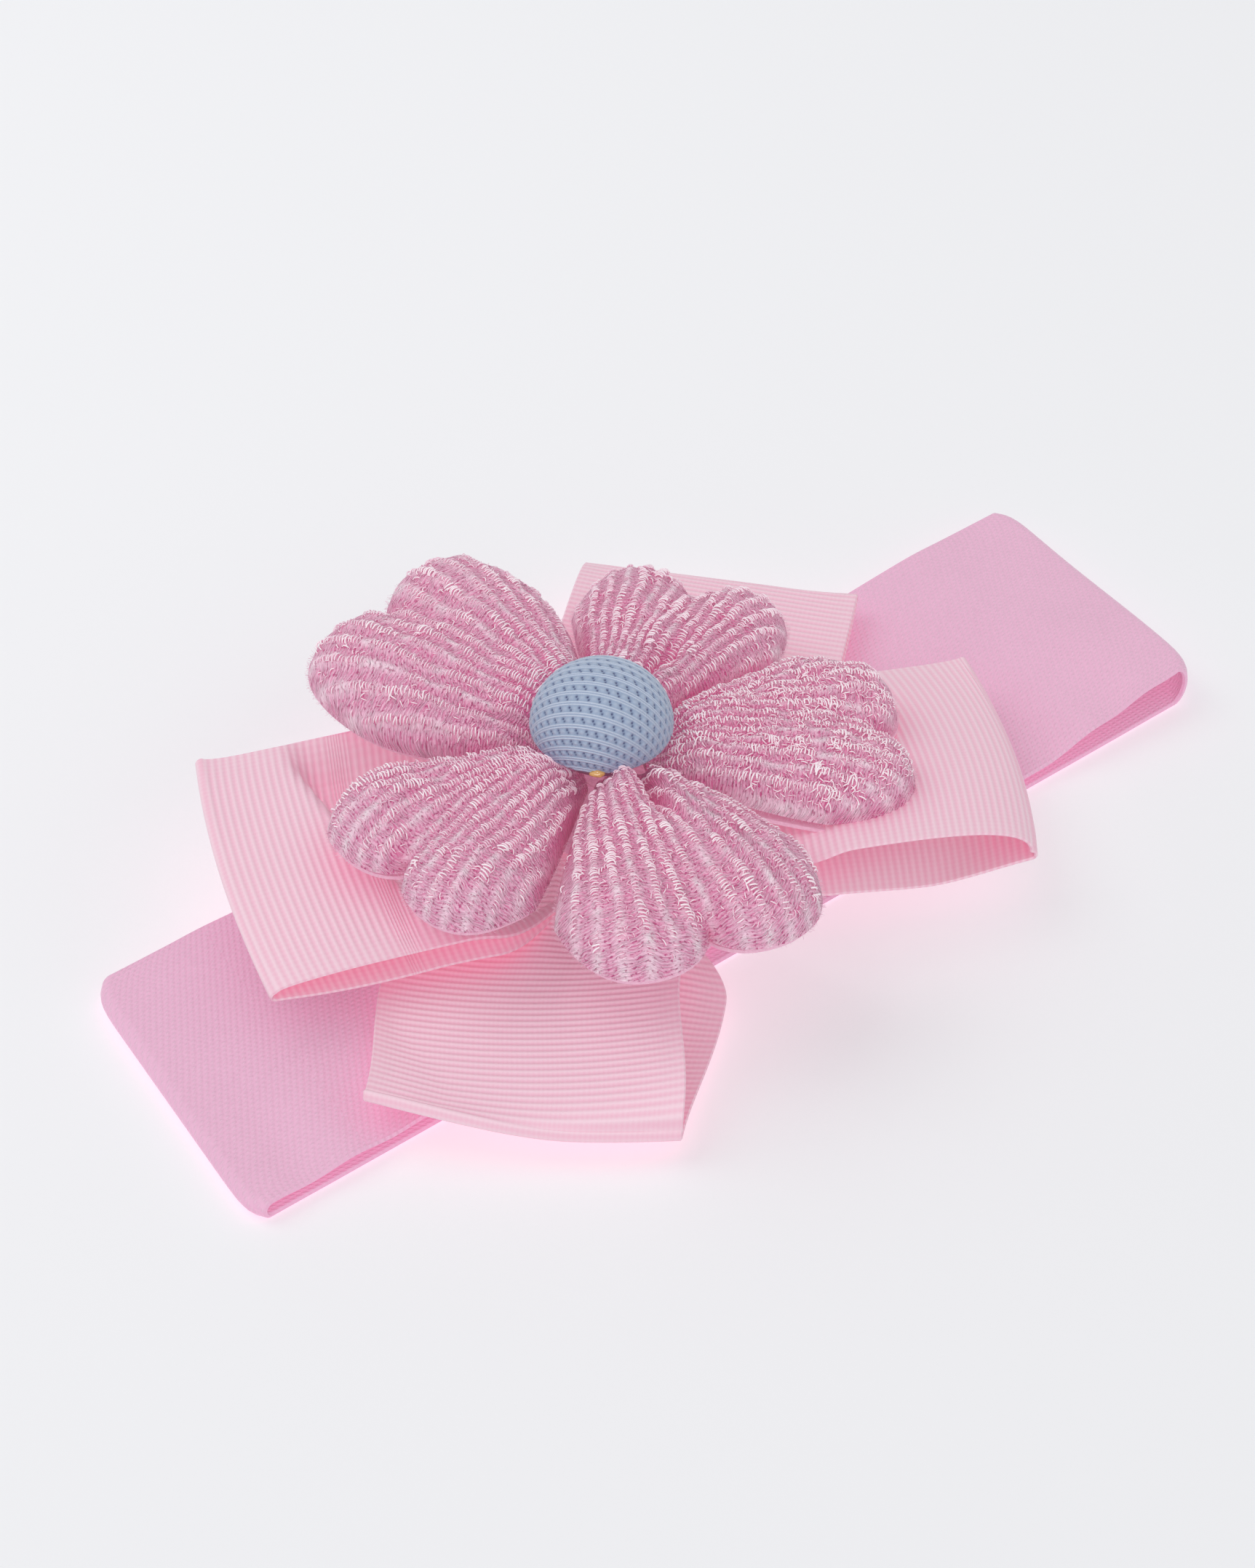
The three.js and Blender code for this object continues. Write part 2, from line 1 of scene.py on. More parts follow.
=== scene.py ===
import json
import math
import bmesh
import bpy
import numpy as np
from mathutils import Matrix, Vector


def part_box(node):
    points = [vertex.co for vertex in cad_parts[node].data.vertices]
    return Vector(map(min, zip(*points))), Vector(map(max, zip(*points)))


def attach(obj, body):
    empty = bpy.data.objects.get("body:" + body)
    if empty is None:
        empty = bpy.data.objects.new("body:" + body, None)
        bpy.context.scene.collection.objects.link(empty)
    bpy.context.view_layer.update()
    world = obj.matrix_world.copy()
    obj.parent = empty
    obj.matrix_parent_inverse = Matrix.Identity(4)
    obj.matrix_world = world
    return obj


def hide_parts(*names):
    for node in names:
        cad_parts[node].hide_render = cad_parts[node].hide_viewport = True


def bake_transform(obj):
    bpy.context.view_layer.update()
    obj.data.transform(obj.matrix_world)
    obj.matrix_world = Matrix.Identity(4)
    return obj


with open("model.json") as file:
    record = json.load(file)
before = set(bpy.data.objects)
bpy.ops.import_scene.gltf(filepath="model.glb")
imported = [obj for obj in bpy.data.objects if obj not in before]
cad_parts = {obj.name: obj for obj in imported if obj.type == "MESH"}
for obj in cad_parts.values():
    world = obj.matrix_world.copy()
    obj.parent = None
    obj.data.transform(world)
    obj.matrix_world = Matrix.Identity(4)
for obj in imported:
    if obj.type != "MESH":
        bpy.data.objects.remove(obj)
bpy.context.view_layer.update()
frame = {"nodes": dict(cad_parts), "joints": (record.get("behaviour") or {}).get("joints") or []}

mm = 0.001
joints = {joint["name"]: joint for joint in frame["joints"]}

# camera

cameraView = {"target": (3.71, 12.07, 0), "turn": 37.95, "elevation": 43, "distance": 505, "lens": 86.53}


def makeCamera(view):
    turn = math.radians(view["turn"])
    elevation = math.radians(view["elevation"])
    level = math.cos(elevation)
    away = Vector((-math.sin(turn) * level, -math.cos(turn) * level, math.sin(elevation)))
    data = bpy.data.cameras.new("camera")
    data.lens = view["lens"]
    data.sensor_width = 36
    camera = bpy.data.objects.new("camera", data)
    camera.location = (Vector(view["target"]) + away * view["distance"]) * mm
    camera.rotation_euler = (-away).to_track_quat("-Z", "Y").to_euler()
    bpy.context.scene.collection.objects.link(camera)
    bpy.context.scene.camera = camera


makeCamera(cameraView)
print("camera placed")

# shape helpers


def smooth(low, high, value):
    share = np.clip((np.asarray(value, float) - low) / (high - low), 0, 1)
    return share * share * (3 - 2 * share)


def mix(a, b, share):
    return a + (b - a) * share


def softNoise(x, y, seed, cells=64):
    # smooth repeating noise from -1 to 1, one new value for each whole step of x and y
    values = np.random.RandomState(seed).uniform(-1, 1, (cells, cells))
    x0, y0 = np.floor(x), np.floor(y)
    fx, fy = smooth(0, 1, x - x0), smooth(0, 1, y - y0)
    ix, iy = x0.astype(int) % cells, y0.astype(int) % cells
    jx, jy = (ix + 1) % cells, (iy + 1) % cells
    return mix(mix(values[ix, iy], values[jx, iy], fx), mix(values[ix, jy], values[jx, jy], fx), fy)


def gridNormals(rows, closed):
    if closed:
        along = np.roll(rows, -1, 0) - np.roll(rows, 1, 0)
    else:
        along = np.gradient(rows, axis=0)
    normals = np.cross(along, np.gradient(rows, axis=1))
    return normals / np.maximum(np.linalg.norm(normals, axis=2, keepdims=True), 1e-12)


def makePiece(name, points, faces, material, cornerMap=None, sharpAngle=50):
    # points in millimetres; cornerMap gives each point's place on the flat cloth, in millimetres
    mesh = bpy.data.meshes.new(name)
    mesh.from_pydata((np.asarray(points) * mm).tolist(), [], faces)
    if cornerMap is not None:
        layer = mesh.uv_layers.new(name="cloth")
        corners = np.zeros(len(mesh.loops), np.int32)
        mesh.loops.foreach_get("vertex_index", corners)
        layer.data.foreach_set("uv", np.asarray(cornerMap, np.float32)[corners].ravel())
    work = bmesh.new()
    work.from_mesh(mesh)
    bmesh.ops.recalc_face_normals(work, faces=work.faces)
    work.to_mesh(mesh)
    work.free()
    mesh.shade_smooth()
    mesh.set_sharp_from_angle(angle=math.radians(sharpAngle))
    mesh.materials.append(material)
    piece = bpy.data.objects.new(name, mesh)
    bpy.context.scene.collection.objects.link(piece)
    return piece


def makeCloth(name, rows, thickness, material, closed=False, start=0.0, relief=None, edge=0.8, stretch=1.0):
    # a closed cloth of even thickness on a grid of points, with rounded edges along both sides
    count, across = rows.shape[:2]
    normals = gridNormals(rows, closed)
    if relief is None:
        relief = np.zeros((count, across))
    lift = (thickness / 2 + relief)[..., None]
    outer, inner = rows + normals * lift, rows - normals * lift
    side = rows[:, 1] - rows[:, 0]
    side = side / np.linalg.norm(side, axis=1, keepdims=True)
    farSide = rows[:, -1] - rows[:, -2]
    farSide = farSide / np.linalg.norm(farSide, axis=1, keepdims=True)
    nearRim = rows[:, 0] - side * thickness / 2 * edge
    farRim = rows[:, -1] + farSide * thickness / 2 * edge
    ring = np.concatenate([nearRim[:, None], outer, farRim[:, None], inner[:, ::-1]], axis=1)
    around = ring.shape[1]
    middle = rows[:, across // 2]
    steps = np.linalg.norm(np.diff(middle, axis=0), axis=1)
    length = start + stretch * np.concatenate([[0], np.cumsum(steps)])
    width = np.concatenate([[0], np.cumsum(np.linalg.norm(np.diff(rows[count // 2], axis=0), axis=1))])
    width = width - width[-1] / 2
    widths = np.concatenate([[width[0]], width, [width[-1]], width[::-1]])
    flat = np.stack(np.broadcast_arrays(length[:, None], widths[None, :]), axis=2)
    index = np.arange(count * around).reshape(count, around)
    lines = count if closed else count - 1
    here, there = np.arange(lines), (np.arange(lines) + 1) % count
    a, b = index[here], index[there]
    faces = np.stack([a, np.roll(a, -1, 1), np.roll(b, -1, 1), b], axis=2).reshape(-1, 4).tolist()
    if not closed:
        half = around // 2
        for row, turn in ((index[0], 1), (index[-1], -1)):
            for k in range(half - 1):
                quad = [row[k], row[(around - k) % around], row[around - k - 1], row[k + 1]]
                quad = [int(corner) for corner in dict.fromkeys(quad)]
                faces.append(quad[::turn])
    return makePiece(name, ring.reshape(-1, 3), faces, material, flat.reshape(-1, 2))


def resampled(rows, spacing):
    # the same cloth with rows at even distances along its middle
    middle = rows[:, rows.shape[1] // 2]
    length = np.concatenate([[0], np.cumsum(np.linalg.norm(np.diff(middle, axis=0), axis=1))])
    count = max(int(round(length[-1] / spacing)), 4)
    wanted = np.linspace(0, length[-1], count + 1)
    flat = rows.reshape(len(rows), -1)
    columns = [np.interp(wanted, length, column) for column in flat.T]
    return np.stack(columns, axis=1).reshape(count + 1, -1, 3)


def clothLength(rows):
    middle = rows[:, rows.shape[1] // 2]
    return float(np.linalg.norm(np.diff(middle, axis=0), axis=1).sum())


# shader groups


def linear(red, green, blue):
    def channel(value):
        value = value / 255
        return value / 12.92 if value <= 0.04045 else ((value + 0.055) / 1.055) ** 2.4
    return (channel(red), channel(green), channel(blue), 1)


def link(tree, source, target):
    tree.links.new(source, target)


def addMath(tree, operation, first, second=None, third=None, clamp=False):
    node = tree.nodes.new("ShaderNodeMath")
    node.operation = operation
    node.use_clamp = clamp
    for socket, value in zip(node.inputs, (first, second, third)):
        if value is None:
            continue
        if isinstance(value, (int, float)):
            socket.default_value = value
        else:
            link(tree, value, socket)
    return node.outputs[0]


def times(tree, first, second):
    return addMath(tree, "MULTIPLY", first, second)


def scaled(tree, value, gain, offset, clamp=False):
    return addMath(tree, "MULTIPLY_ADD", value, gain, offset, clamp)


def contrast(tree, value, middle, gain, offset):
    # a stronger pattern, kept between 0 and 1
    return scaled(tree, addMath(tree, "SUBTRACT", value, middle), gain, offset, True)


def addNoise(tree, vector, scale, detail=3, roughness=0.55):
    node = tree.nodes.new("ShaderNodeTexNoise")
    node.inputs["Scale"].default_value = scale
    node.inputs["Detail"].default_value = detail
    node.inputs["Roughness"].default_value = roughness
    link(tree, vector, node.inputs["Vector"])
    return node.outputs["Fac"]


def addMix(tree, share, first, second):
    node = tree.nodes.new("ShaderNodeMix")
    node.data_type = "RGBA"
    for socket, value in ((node.inputs[0], share), (node.inputs[6], first), (node.inputs[7], second)):
        if isinstance(value, bpy.types.NodeSocket):
            link(tree, value, socket)
        else:
            socket.default_value = value
    return node.outputs[2]


def addCombine(tree, x, y, z=0.0):
    node = tree.nodes.new("ShaderNodeCombineXYZ")
    for socket, value in zip(node.inputs, (x, y, z)):
        if isinstance(value, (int, float)):
            socket.default_value = value
        else:
            link(tree, value, socket)
    return node.outputs[0]


def addSplit(tree, vector):
    node = tree.nodes.new("ShaderNodeSeparateXYZ")
    link(tree, vector, node.inputs[0])
    return node.outputs


# threads: one bent strand laid at every point, with its own direction and size

threadSockets = [
    ("Length", "NodeSocketFloat"), ("Thickness", "NodeSocketFloat"), ("Rise", "NodeSocketFloat"),
    ("Sides", "NodeSocketInt"), ("Material", "NodeSocketMaterial"),
]


def threadTree():
    tree = bpy.data.node_groups.new("layThread", "GeometryNodeTree")
    tree.interface.new_socket("Points", in_out="INPUT", socket_type="NodeSocketGeometry")
    for label, kind in threadSockets:
        tree.interface.new_socket(label, in_out="INPUT", socket_type=kind)
    tree.interface.new_socket("Threads", in_out="OUTPUT", socket_type="NodeSocketGeometry")
    given, out = tree.nodes.new("NodeGroupInput"), tree.nodes.new("NodeGroupOutput")

    def add(kind):
        return tree.nodes.new(kind)

    def named(name, kind):
        node = add("GeometryNodeInputNamedAttribute")
        node.data_type = kind
        node.inputs["Name"].default_value = name
        return node.outputs["Attribute"]

    half = addMath(tree, "MULTIPLY", given.outputs["Length"], 0.5)
    back = addMath(tree, "MULTIPLY", given.outputs["Length"], -0.5)
    bent = add("GeometryNodeCurveQuadraticBezier")
    bent.inputs["Resolution"].default_value = 4
    link(tree, addCombine(tree, back, 0.0), bent.inputs["Start"])
    peak = addMath(tree, "MULTIPLY", given.outputs["Rise"], 2)
    link(tree, addCombine(tree, 0.0, 0.0, peak), bent.inputs["Middle"])
    link(tree, addCombine(tree, half, 0.0), bent.inputs["End"])
    ring = add("GeometryNodeCurvePrimitiveCircle")
    link(tree, given.outputs["Sides"], ring.inputs["Resolution"])
    link(tree, addMath(tree, "MULTIPLY", given.outputs["Thickness"], 0.5), ring.inputs["Radius"])
    tube = add("GeometryNodeCurveToMesh")
    tube.inputs["Fill Caps"].default_value = True
    link(tree, bent.outputs[0], tube.inputs["Curve"])
    link(tree, ring.outputs[0], tube.inputs["Profile Curve"])
    turn = add("FunctionNodeAxesToRotation")
    turn.primary_axis, turn.secondary_axis = "X", "Z"
    link(tree, named("lie", "FLOAT_VECTOR"), turn.inputs[0])
    link(tree, named("up", "FLOAT_VECTOR"), turn.inputs[1])
    place = add("GeometryNodeInstanceOnPoints")
    link(tree, given.outputs["Points"], place.inputs["Points"])
    link(tree, tube.outputs[0], place.inputs["Instance"])
    link(tree, turn.outputs[0], place.inputs["Rotation"])
    size = named("size", "FLOAT")
    link(tree, addCombine(tree, size, size, size), place.inputs["Scale"])
    real = add("GeometryNodeRealizeInstances")
    link(tree, place.outputs[0], real.inputs[0])
    paint = add("GeometryNodeSetMaterial")
    link(tree, real.outputs[0], paint.inputs["Geometry"])
    link(tree, given.outputs["Material"], paint.inputs["Material"])
    link(tree, paint.outputs[0], out.inputs[0])
    return tree


def layThreads(name, layout, length, thickness, rise, material, sides=5):
    # layout: places, directions, normals, sizes and shades of the threads; lengths in millimetres
    places, lie, up, size, shade = layout
    mesh = bpy.data.meshes.new(name + "_points")
    mesh.from_pydata((places * mm).tolist(), [], [])
    for label, kind, key, values in (
        ("lie", "FLOAT_VECTOR", "vector", lie), ("up", "FLOAT_VECTOR", "vector", up),
        ("size", "FLOAT", "value", size), ("shade", "FLOAT", "value", shade),
    ):
        attribute = mesh.attributes.new(label, kind, "POINT")
        attribute.data.foreach_set(key, np.asarray(values, np.float32).ravel())
    holder = bpy.data.objects.new(name + "_layout", mesh)
    bpy.context.scene.collection.objects.link(holder)
    modifier = holder.modifiers.new("threads", "NODES")
    modifier.node_group = layThreadTree
    given = {"Length": length * mm, "Thickness": thickness * mm, "Rise": rise * mm, "Sides": sides,
             "Material": material}
    for item in layThreadTree.interface.items_tree:
        if item.in_out == "INPUT" and item.name in given:
            modifier[item.identifier] = given[item.name]
    depsgraph = bpy.context.evaluated_depsgraph_get()
    made = bpy.data.meshes.new_from_object(holder.evaluated_get(depsgraph), preserve_all_data_layers=True,
                                           depsgraph=depsgraph)
    bpy.data.objects.remove(holder)
    made.name = name
    made.shade_smooth()
    piece = bpy.data.objects.new(name, made)
    bpy.context.scene.collection.objects.link(piece)
    return piece


def newGroup(name, inputs, outputs):
    tree = bpy.data.node_groups.new(name, "ShaderNodeTree")
    for label, kind, value in inputs:
        socket = tree.interface.new_socket(label, in_out="INPUT", socket_type=kind)
        if value is not None:
            socket.default_value = value
    for label, kind in outputs:
        tree.interface.new_socket(label, in_out="OUTPUT", socket_type=kind)
    return tree, tree.nodes.new("NodeGroupInput"), tree.nodes.new("NodeGroupOutput")


def fabricFuzzGroup():
    # soft patches of lighter and darker dye, and the fine nap of the yarn as colour and height
    tree, given, out = newGroup("fabricFuzz", [
        ("Colour", "NodeSocketColor", None),
        ("Patches", "NodeSocketFloat", 0.06),
        ("Nap", "NodeSocketFloat", 0.08),
        ("Nap scale", "NodeSocketFloat", 2500),
    ], [("Colour", "NodeSocketColor"), ("Height", "NodeSocketFloat")])
    place = tree.nodes.new("ShaderNodeTexCoord").outputs["Object"]
    patch = addNoise(tree, place, 70, 2)
    nap = tree.nodes.new("ShaderNodeTexNoise")
    nap.inputs["Detail"].default_value = 4
    link(tree, place, nap.inputs["Vector"])
    link(tree, given.outputs["Nap scale"], nap.inputs["Scale"])
    patchGain = times(tree, addMath(tree, "SUBTRACT", patch, 0.5), given.outputs["Patches"])
    napGain = times(tree, addMath(tree, "SUBTRACT", nap.outputs["Fac"], 0.5), given.outputs["Nap"])
    gain = addMath(tree, "ADD", addMath(tree, "ADD", patchGain, napGain), 1)
    value = tree.nodes.new("ShaderNodeHueSaturation")
    link(tree, given.outputs["Colour"], value.inputs["Color"])
    link(tree, gain, value.inputs["Value"])
    link(tree, value.outputs[0], out.inputs["Colour"])
    link(tree, nap.outputs["Fac"], out.inputs["Height"])
    return tree


def paintedShadeGroup():
    # painted shade: a deeper colour between the threads and, by an ambient-occlusion mask, under folds and
    # inside loops; the same mask paints a glow by emission, standing in for light through the thin cloth
    tree, given, out = newGroup("paintedShadeAndGlow", [
        ("Colour", "NodeSocketColor", None),
        ("Deep colour", "NodeSocketColor", None),
        ("Glow colour", "NodeSocketColor", None),
        ("Depth", "NodeSocketFloat", 0.0),
        ("Openness", "NodeSocketFloat", 1.0),
        ("Shelter", "NodeSocketFloat", 0.8),
    ], [("Colour", "NodeSocketColor"), ("Glow", "NodeSocketColor")])
    closed = addMath(tree, "SUBTRACT", 1, given.outputs["Openness"], clamp=True)
    sheltered = times(tree, closed, given.outputs["Shelter"])
    depth = addMath(tree, "ADD", given.outputs["Depth"], sheltered, clamp=True)
    dyed = addMix(tree, depth, given.outputs["Colour"], given.outputs["Deep colour"])
    glow = addMix(tree, closed, (0, 0, 0, 1), given.outputs["Glow colour"])
    link(tree, dyed, out.inputs["Colour"])
    link(tree, glow, out.inputs["Glow"])
    return tree


shelterSamples = 6
layThreadTree = threadTree()
fuzzGroup = fabricFuzzGroup()
paintedShadeTree = paintedShadeGroup()


def newMaterial(name, **fixed):
    material = bpy.data.materials.new(name)
    material.use_nodes = True
    tree = material.node_tree
    shader = tree.nodes["Principled BSDF"]
    for label, value in fixed.items():
        shader.inputs[label.replace("_", " ")].default_value = value
    return material, tree, shader


def placeGroup(tree, group, **values):
    node = tree.nodes.new("ShaderNodeGroup")
    node.node_tree = group
    for label, value in values.items():
        socket = node.inputs[label.replace("_", " ")]
        if isinstance(value, bpy.types.NodeSocket):
            link(tree, value, socket)
        else:
            socket.default_value = value
    return node


def addBump(tree, shader, height, depth, strength=1.0):
    node = tree.nodes.new("ShaderNodeBump")
    node.inputs["Strength"].default_value = strength
    node.inputs["Distance"].default_value = depth
    link(tree, height, node.inputs["Height"])
    link(tree, node.outputs[0], shader.inputs["Normal"])


# ambient occlusion: the mask for painted shade and painted glow
def addShelter(tree, reach):
    node = tree.nodes.new("ShaderNodeAmbientOcclusion")
    node.samples = shelterSamples
    node.inputs["Distance"].default_value = reach * mm
    return node.outputs["AO"]


# painted shade: base colour mixed toward a darker colour by depth and where the ambient-occlusion mask
# finds shelter; painted glow: emission in the same places
def paintShadeAndGlow(tree, shader, colour, shadeTint, glow, depth, reach=7, shelter=0.65, strength=0.16):
    node = placeGroup(tree, paintedShadeTree, Colour=colour, Deep_colour=linear(*shadeTint), Glow_colour=linear(*glow),
                      Depth=depth, Openness=addShelter(tree, reach), Shelter=shelter)
    link(tree, node.outputs["Colour"], shader.inputs["Base Color"])
    link(tree, node.outputs["Glow"], shader.inputs["Emission Color"])
    shader.inputs["Emission Strength"].default_value = strength
    return node


def clothPlace(tree):
    node = tree.nodes.new("ShaderNodeUVMap")
    node.uv_map = "cloth"
    return addSplit(tree, node.outputs[0])


def wave(tree, value, pitch, power=1.0):
    # 0 to 1 and back, once for each pitch
    angle = times(tree, value, 2 * math.pi / pitch)
    level = scaled(tree, addMath(tree, "COSINE", angle), 0.5, 0.5)
    return level if power == 1 else addMath(tree, "POWER", level, power)


# materials

bandLook = {
    "colour": (232, 186, 211), "shadeTint": (230, 150, 193), "glow": (250, 204, 222),
    "course": 0.62, "wale": 0.9, "slant": 0.5, "contrast": 0.22, "patches": 0.1, "nap": 0.16,
    "bump": 0.00009,
}


def bandMaterial(look):
    material, tree, shader = newMaterial("bandFabric", Roughness=0.9, Sheen_Weight=0.35,
                                         Sheen_Roughness=0.5)
    shader.inputs["Sheen Tint"].default_value = (1, 0.9, 0.96, 1)
    along, across, _ = clothPlace(tree)
    course = wave(tree, across, look["course"])
    wale = wave(tree, scaled(tree, across, look["slant"], along), look["wale"])
    knit = times(tree, course, wale)
    fuzz = placeGroup(tree, fuzzGroup, Colour=linear(*look["colour"]), Patches=look["patches"],
                      Nap=look["nap"], Nap_scale=1900)
    # darker between the knit's loops: knit pattern with painted shade in its hollows, plus painted shade
    # and painted glow under folds
    paintShadeAndGlow(tree, shader, fuzz.outputs["Colour"], look["shadeTint"], look["glow"],
             scaled(tree, knit, -look["contrast"], 0.2))
    height = addMath(tree, "ADD", knit, times(tree, fuzz.outputs["Height"], 0.8))
    addBump(tree, shader, height, look["bump"])
    return material


ribbonLook = {
    "colour": (240, 206, 219), "shadeTint": (228, 124, 167), "glow": (250, 200, 214),
    "pitch": 1.0, "selvage": 1.7, "relief": 0.058, "threadPitch": 0.32, "contrast": 0.36, "bump": 0.00006,
}


def ribbonMaterial(look, width):
    material, tree, shader = newMaterial("grosgrain", Roughness=0.55, Sheen_Weight=0.2)
    along, across, _ = clothPlace(tree)
    fromEdge = addMath(tree, "SUBTRACT", width / 2, addMath(tree, "ABSOLUTE", across))
    body = addMath(tree, "GREATER_THAN", fromEdge, look["selvage"])
    rib = wave(tree, along, look["pitch"])
    cross = wave(tree, across, look["threadPitch"])
    edgeWeave = wave(tree, scaled(tree, along, 0.7, across), 0.5)
    weave = scaled(tree, cross, 0.18, times(tree, rib, 0.82))
    edge = times(tree, edgeWeave, addMath(tree, "SUBTRACT", 1, body))
    pattern = addMath(tree, "ADD", times(tree, weave, body), edge)
    fuzz = placeGroup(tree, fuzzGroup, Colour=linear(*look["colour"]), Patches=0.05, Nap=0.06,
                      Nap_scale=3000)
    # darker between the ribs: weave pattern with painted shade in its hollows, plus painted shade and
    # painted glow inside loops and under the flower
    paintShadeAndGlow(tree, shader, fuzz.outputs["Colour"], look["shadeTint"], look["glow"],
             scaled(tree, pattern, -look["contrast"], 0.31))
    addBump(tree, shader, pattern, look["bump"], 0.7)
    return material


petalLook = {
    "colour": (240, 190, 214), "shadeTint": (206, 82, 140), "glow": (240, 130, 175), "ridge": (250, 228, 238),
    "ladder": 0.46, "slubLength": 4, "valley": 0.7, "pitDepth": 0.75, "patches": 0.12, "nap": 0.3,
    "reach": 4, "shelter": 0.9, "strength": 0.14, "bump": 0.00022,
}


def petalMaterial(look):
    material, tree, shader = newMaterial("petalKnit", Sheen_Weight=0.25, Sheen_Roughness=0.4)
    ribs, out, _ = clothPlace(tree)

    def yarnNoise(ribScale, outScale, scale, detail=3):
        place = addCombine(tree, times(tree, ribs, ribScale), times(tree, out, outScale))
        return addNoise(tree, place, scale, detail)

    ridge = wave(tree, ribs, 1.0, 1.5)
    sway = yarnNoise(1.3, 0.6, 1)
    ladder = wave(tree, scaled(tree, sway, 1.5, out), look["ladder"])
    loops = contrast(tree, yarnNoise(3.2, 2.6, 1, 2), 0.5, 3, 0.5)
    broken = scaled(tree, loops, 0.7, 0.3)
    slubPlace = addCombine(tree, addMath(tree, "ROUND", ribs), times(tree, out, 1 / look["slubLength"]))
    slub = contrast(tree, addNoise(tree, slubPlace, 1.7, 2), 0.5, 4, 0.6)
    shine = times(tree, times(tree, ridge, slub), broken)
    strokes = times(tree, addMath(tree, "SUBTRACT", 1, ladder), broken)
    pits = contrast(tree, yarnNoise(4, 1.8, 1.5, 2), 0.56, 8, 0)
    fuzz = placeGroup(tree, fuzzGroup, Colour=linear(*look["colour"]), Patches=look["patches"],
                      Nap=look["nap"], Nap_scale=2600)
    # darker between the ribs and in pits: knit pattern with painted shade in its hollows
    between = addMath(tree, "SUBTRACT", 1, ridge)
    valley = times(tree, between, scaled(tree, strokes, look["valley"], 0.08))
    depth = addMath(tree, "ADD", valley, times(tree, pits, look["pitDepth"]))
    # rib tops and the bright yarn on them mixed toward a lighter colour: the yarn's own lighter colour with
    # a painted highlight on the rib tops
    lift = scaled(tree, shine, 0.8, times(tree, ridge, 0.2), True)
    brightened = addMix(tree, lift, fuzz.outputs["Colour"], linear(*look["ridge"]))
    paintShadeAndGlow(tree, shader, brightened, look["shadeTint"], look["glow"], depth,
             look["reach"], look["shelter"], look["strength"])
    link(tree, scaled(tree, shine, -0.4, 0.85), shader.inputs["Roughness"])
    height = addMath(tree, "ADD", times(tree, ladder, 0.5), times(tree, loops, 0.6))
    height = addMath(tree, "SUBTRACT", height, times(tree, pits, 0.5))
    addBump(tree, shader, height, look["bump"])
    return material


silkLook = {
    "colour": (240, 204, 222), "bright": (255, 248, 252), "shadeTint": (216, 132, 172), "glow": (232, 160, 190),
}


def silkMaterial(look):
    # bright viscose yarn, a little lighter and darker from thread to thread
    material, tree, shader = newMaterial("silkThread", Roughness=0.32, Sheen_Weight=0.15)
    node = tree.nodes.new("ShaderNodeAttribute")
    node.attribute_name = "shade"
    fuzz = placeGroup(tree, fuzzGroup, Colour=linear(*look["colour"]), Patches=0.2, Nap=0.5, Nap_scale=3500)
    share = scaled(tree, node.outputs["Fac"], 0.9, 0, True)
    brightened = addMix(tree, share, fuzz.outputs["Colour"], linear(*look["bright"]))
    # painted shade and painted glow where the threads are sheltered, by the ambient-occlusion mask
    paintShadeAndGlow(tree, shader, brightened, look["shadeTint"], look["glow"], 0.0, 1.5, 0.55, 0.1)
    addBump(tree, shader, fuzz.outputs["Height"], 0.00004)
    return material


def plainFabric(name, colour, shadeTint, patches, nap, scale, depth, roughness=0.9, sheen=0.3):
    material, tree, shader = newMaterial(name, Roughness=roughness, Sheen_Weight=sheen)
    fuzz = placeGroup(tree, fuzzGroup, Colour=linear(*colour), Patches=patches, Nap=nap, Nap_scale=scale)
    # darker in the nap's hollows: painted shade; also painted shade and painted glow in sheltered places
    hollows = scaled(tree, fuzz.outputs["Height"], -1, 0.7)
    paintShadeAndGlow(tree, shader, fuzz.outputs["Colour"], shadeTint, shadeTint, hollows, 6, 0.6, 0.12)
    addBump(tree, shader, fuzz.outputs["Height"], depth)
    return material


buttonLook = {
    "colour": (146, 163, 189), "shadeTint": (58, 80, 118), "thread": (204, 214, 230), "glow": (176, 140, 180),
    "bump": 0.00012,
}


def buttonMaterial(look):
    material, tree, shader = newMaterial("buttonKnit", Roughness=0.85, Sheen_Weight=0.3)
    node = tree.nodes.new("ShaderNodeAttribute")
    node.attribute_name = "weave"
    thread, pit, _ = addSplit(tree, node.outputs["Vector"])
    fuzz = placeGroup(tree, fuzzGroup, Colour=linear(*look["colour"]), Patches=0.08, Nap=0.22,
                      Nap_scale=3200)
    share = addMath(tree, "MULTIPLY", thread, 0.9, clamp=True)
    brightened = addMix(tree, share, fuzz.outputs["Colour"], linear(*look["thread"]))
    # darker in the knit's holes: painted shade; the lilac glow colour is painted light from the pink
    # flower, in sheltered places
    paintShadeAndGlow(tree, shader, brightened, look["shadeTint"], look["glow"], pit, 4, 0.35, 0.18)
    addBump(tree, shader, fuzz.outputs["Height"], look["bump"])
    return material


def metalMaterial():
    material, tree, shader = newMaterial("buttonMetal", Metallic=1.0)
    place = tree.nodes.new("ShaderNodeTexCoord").outputs["Object"]
    scratch = addNoise(tree, place, 900, 4)
    brushed = addMix(tree, scratch, (0.5, 0.51, 0.53, 1), (0.7, 0.71, 0.73, 1))
    link(tree, brushed, shader.inputs["Base Color"])
    link(tree, scaled(tree, scratch, 0.25, 0.25), shader.inputs["Roughness"])
    return material


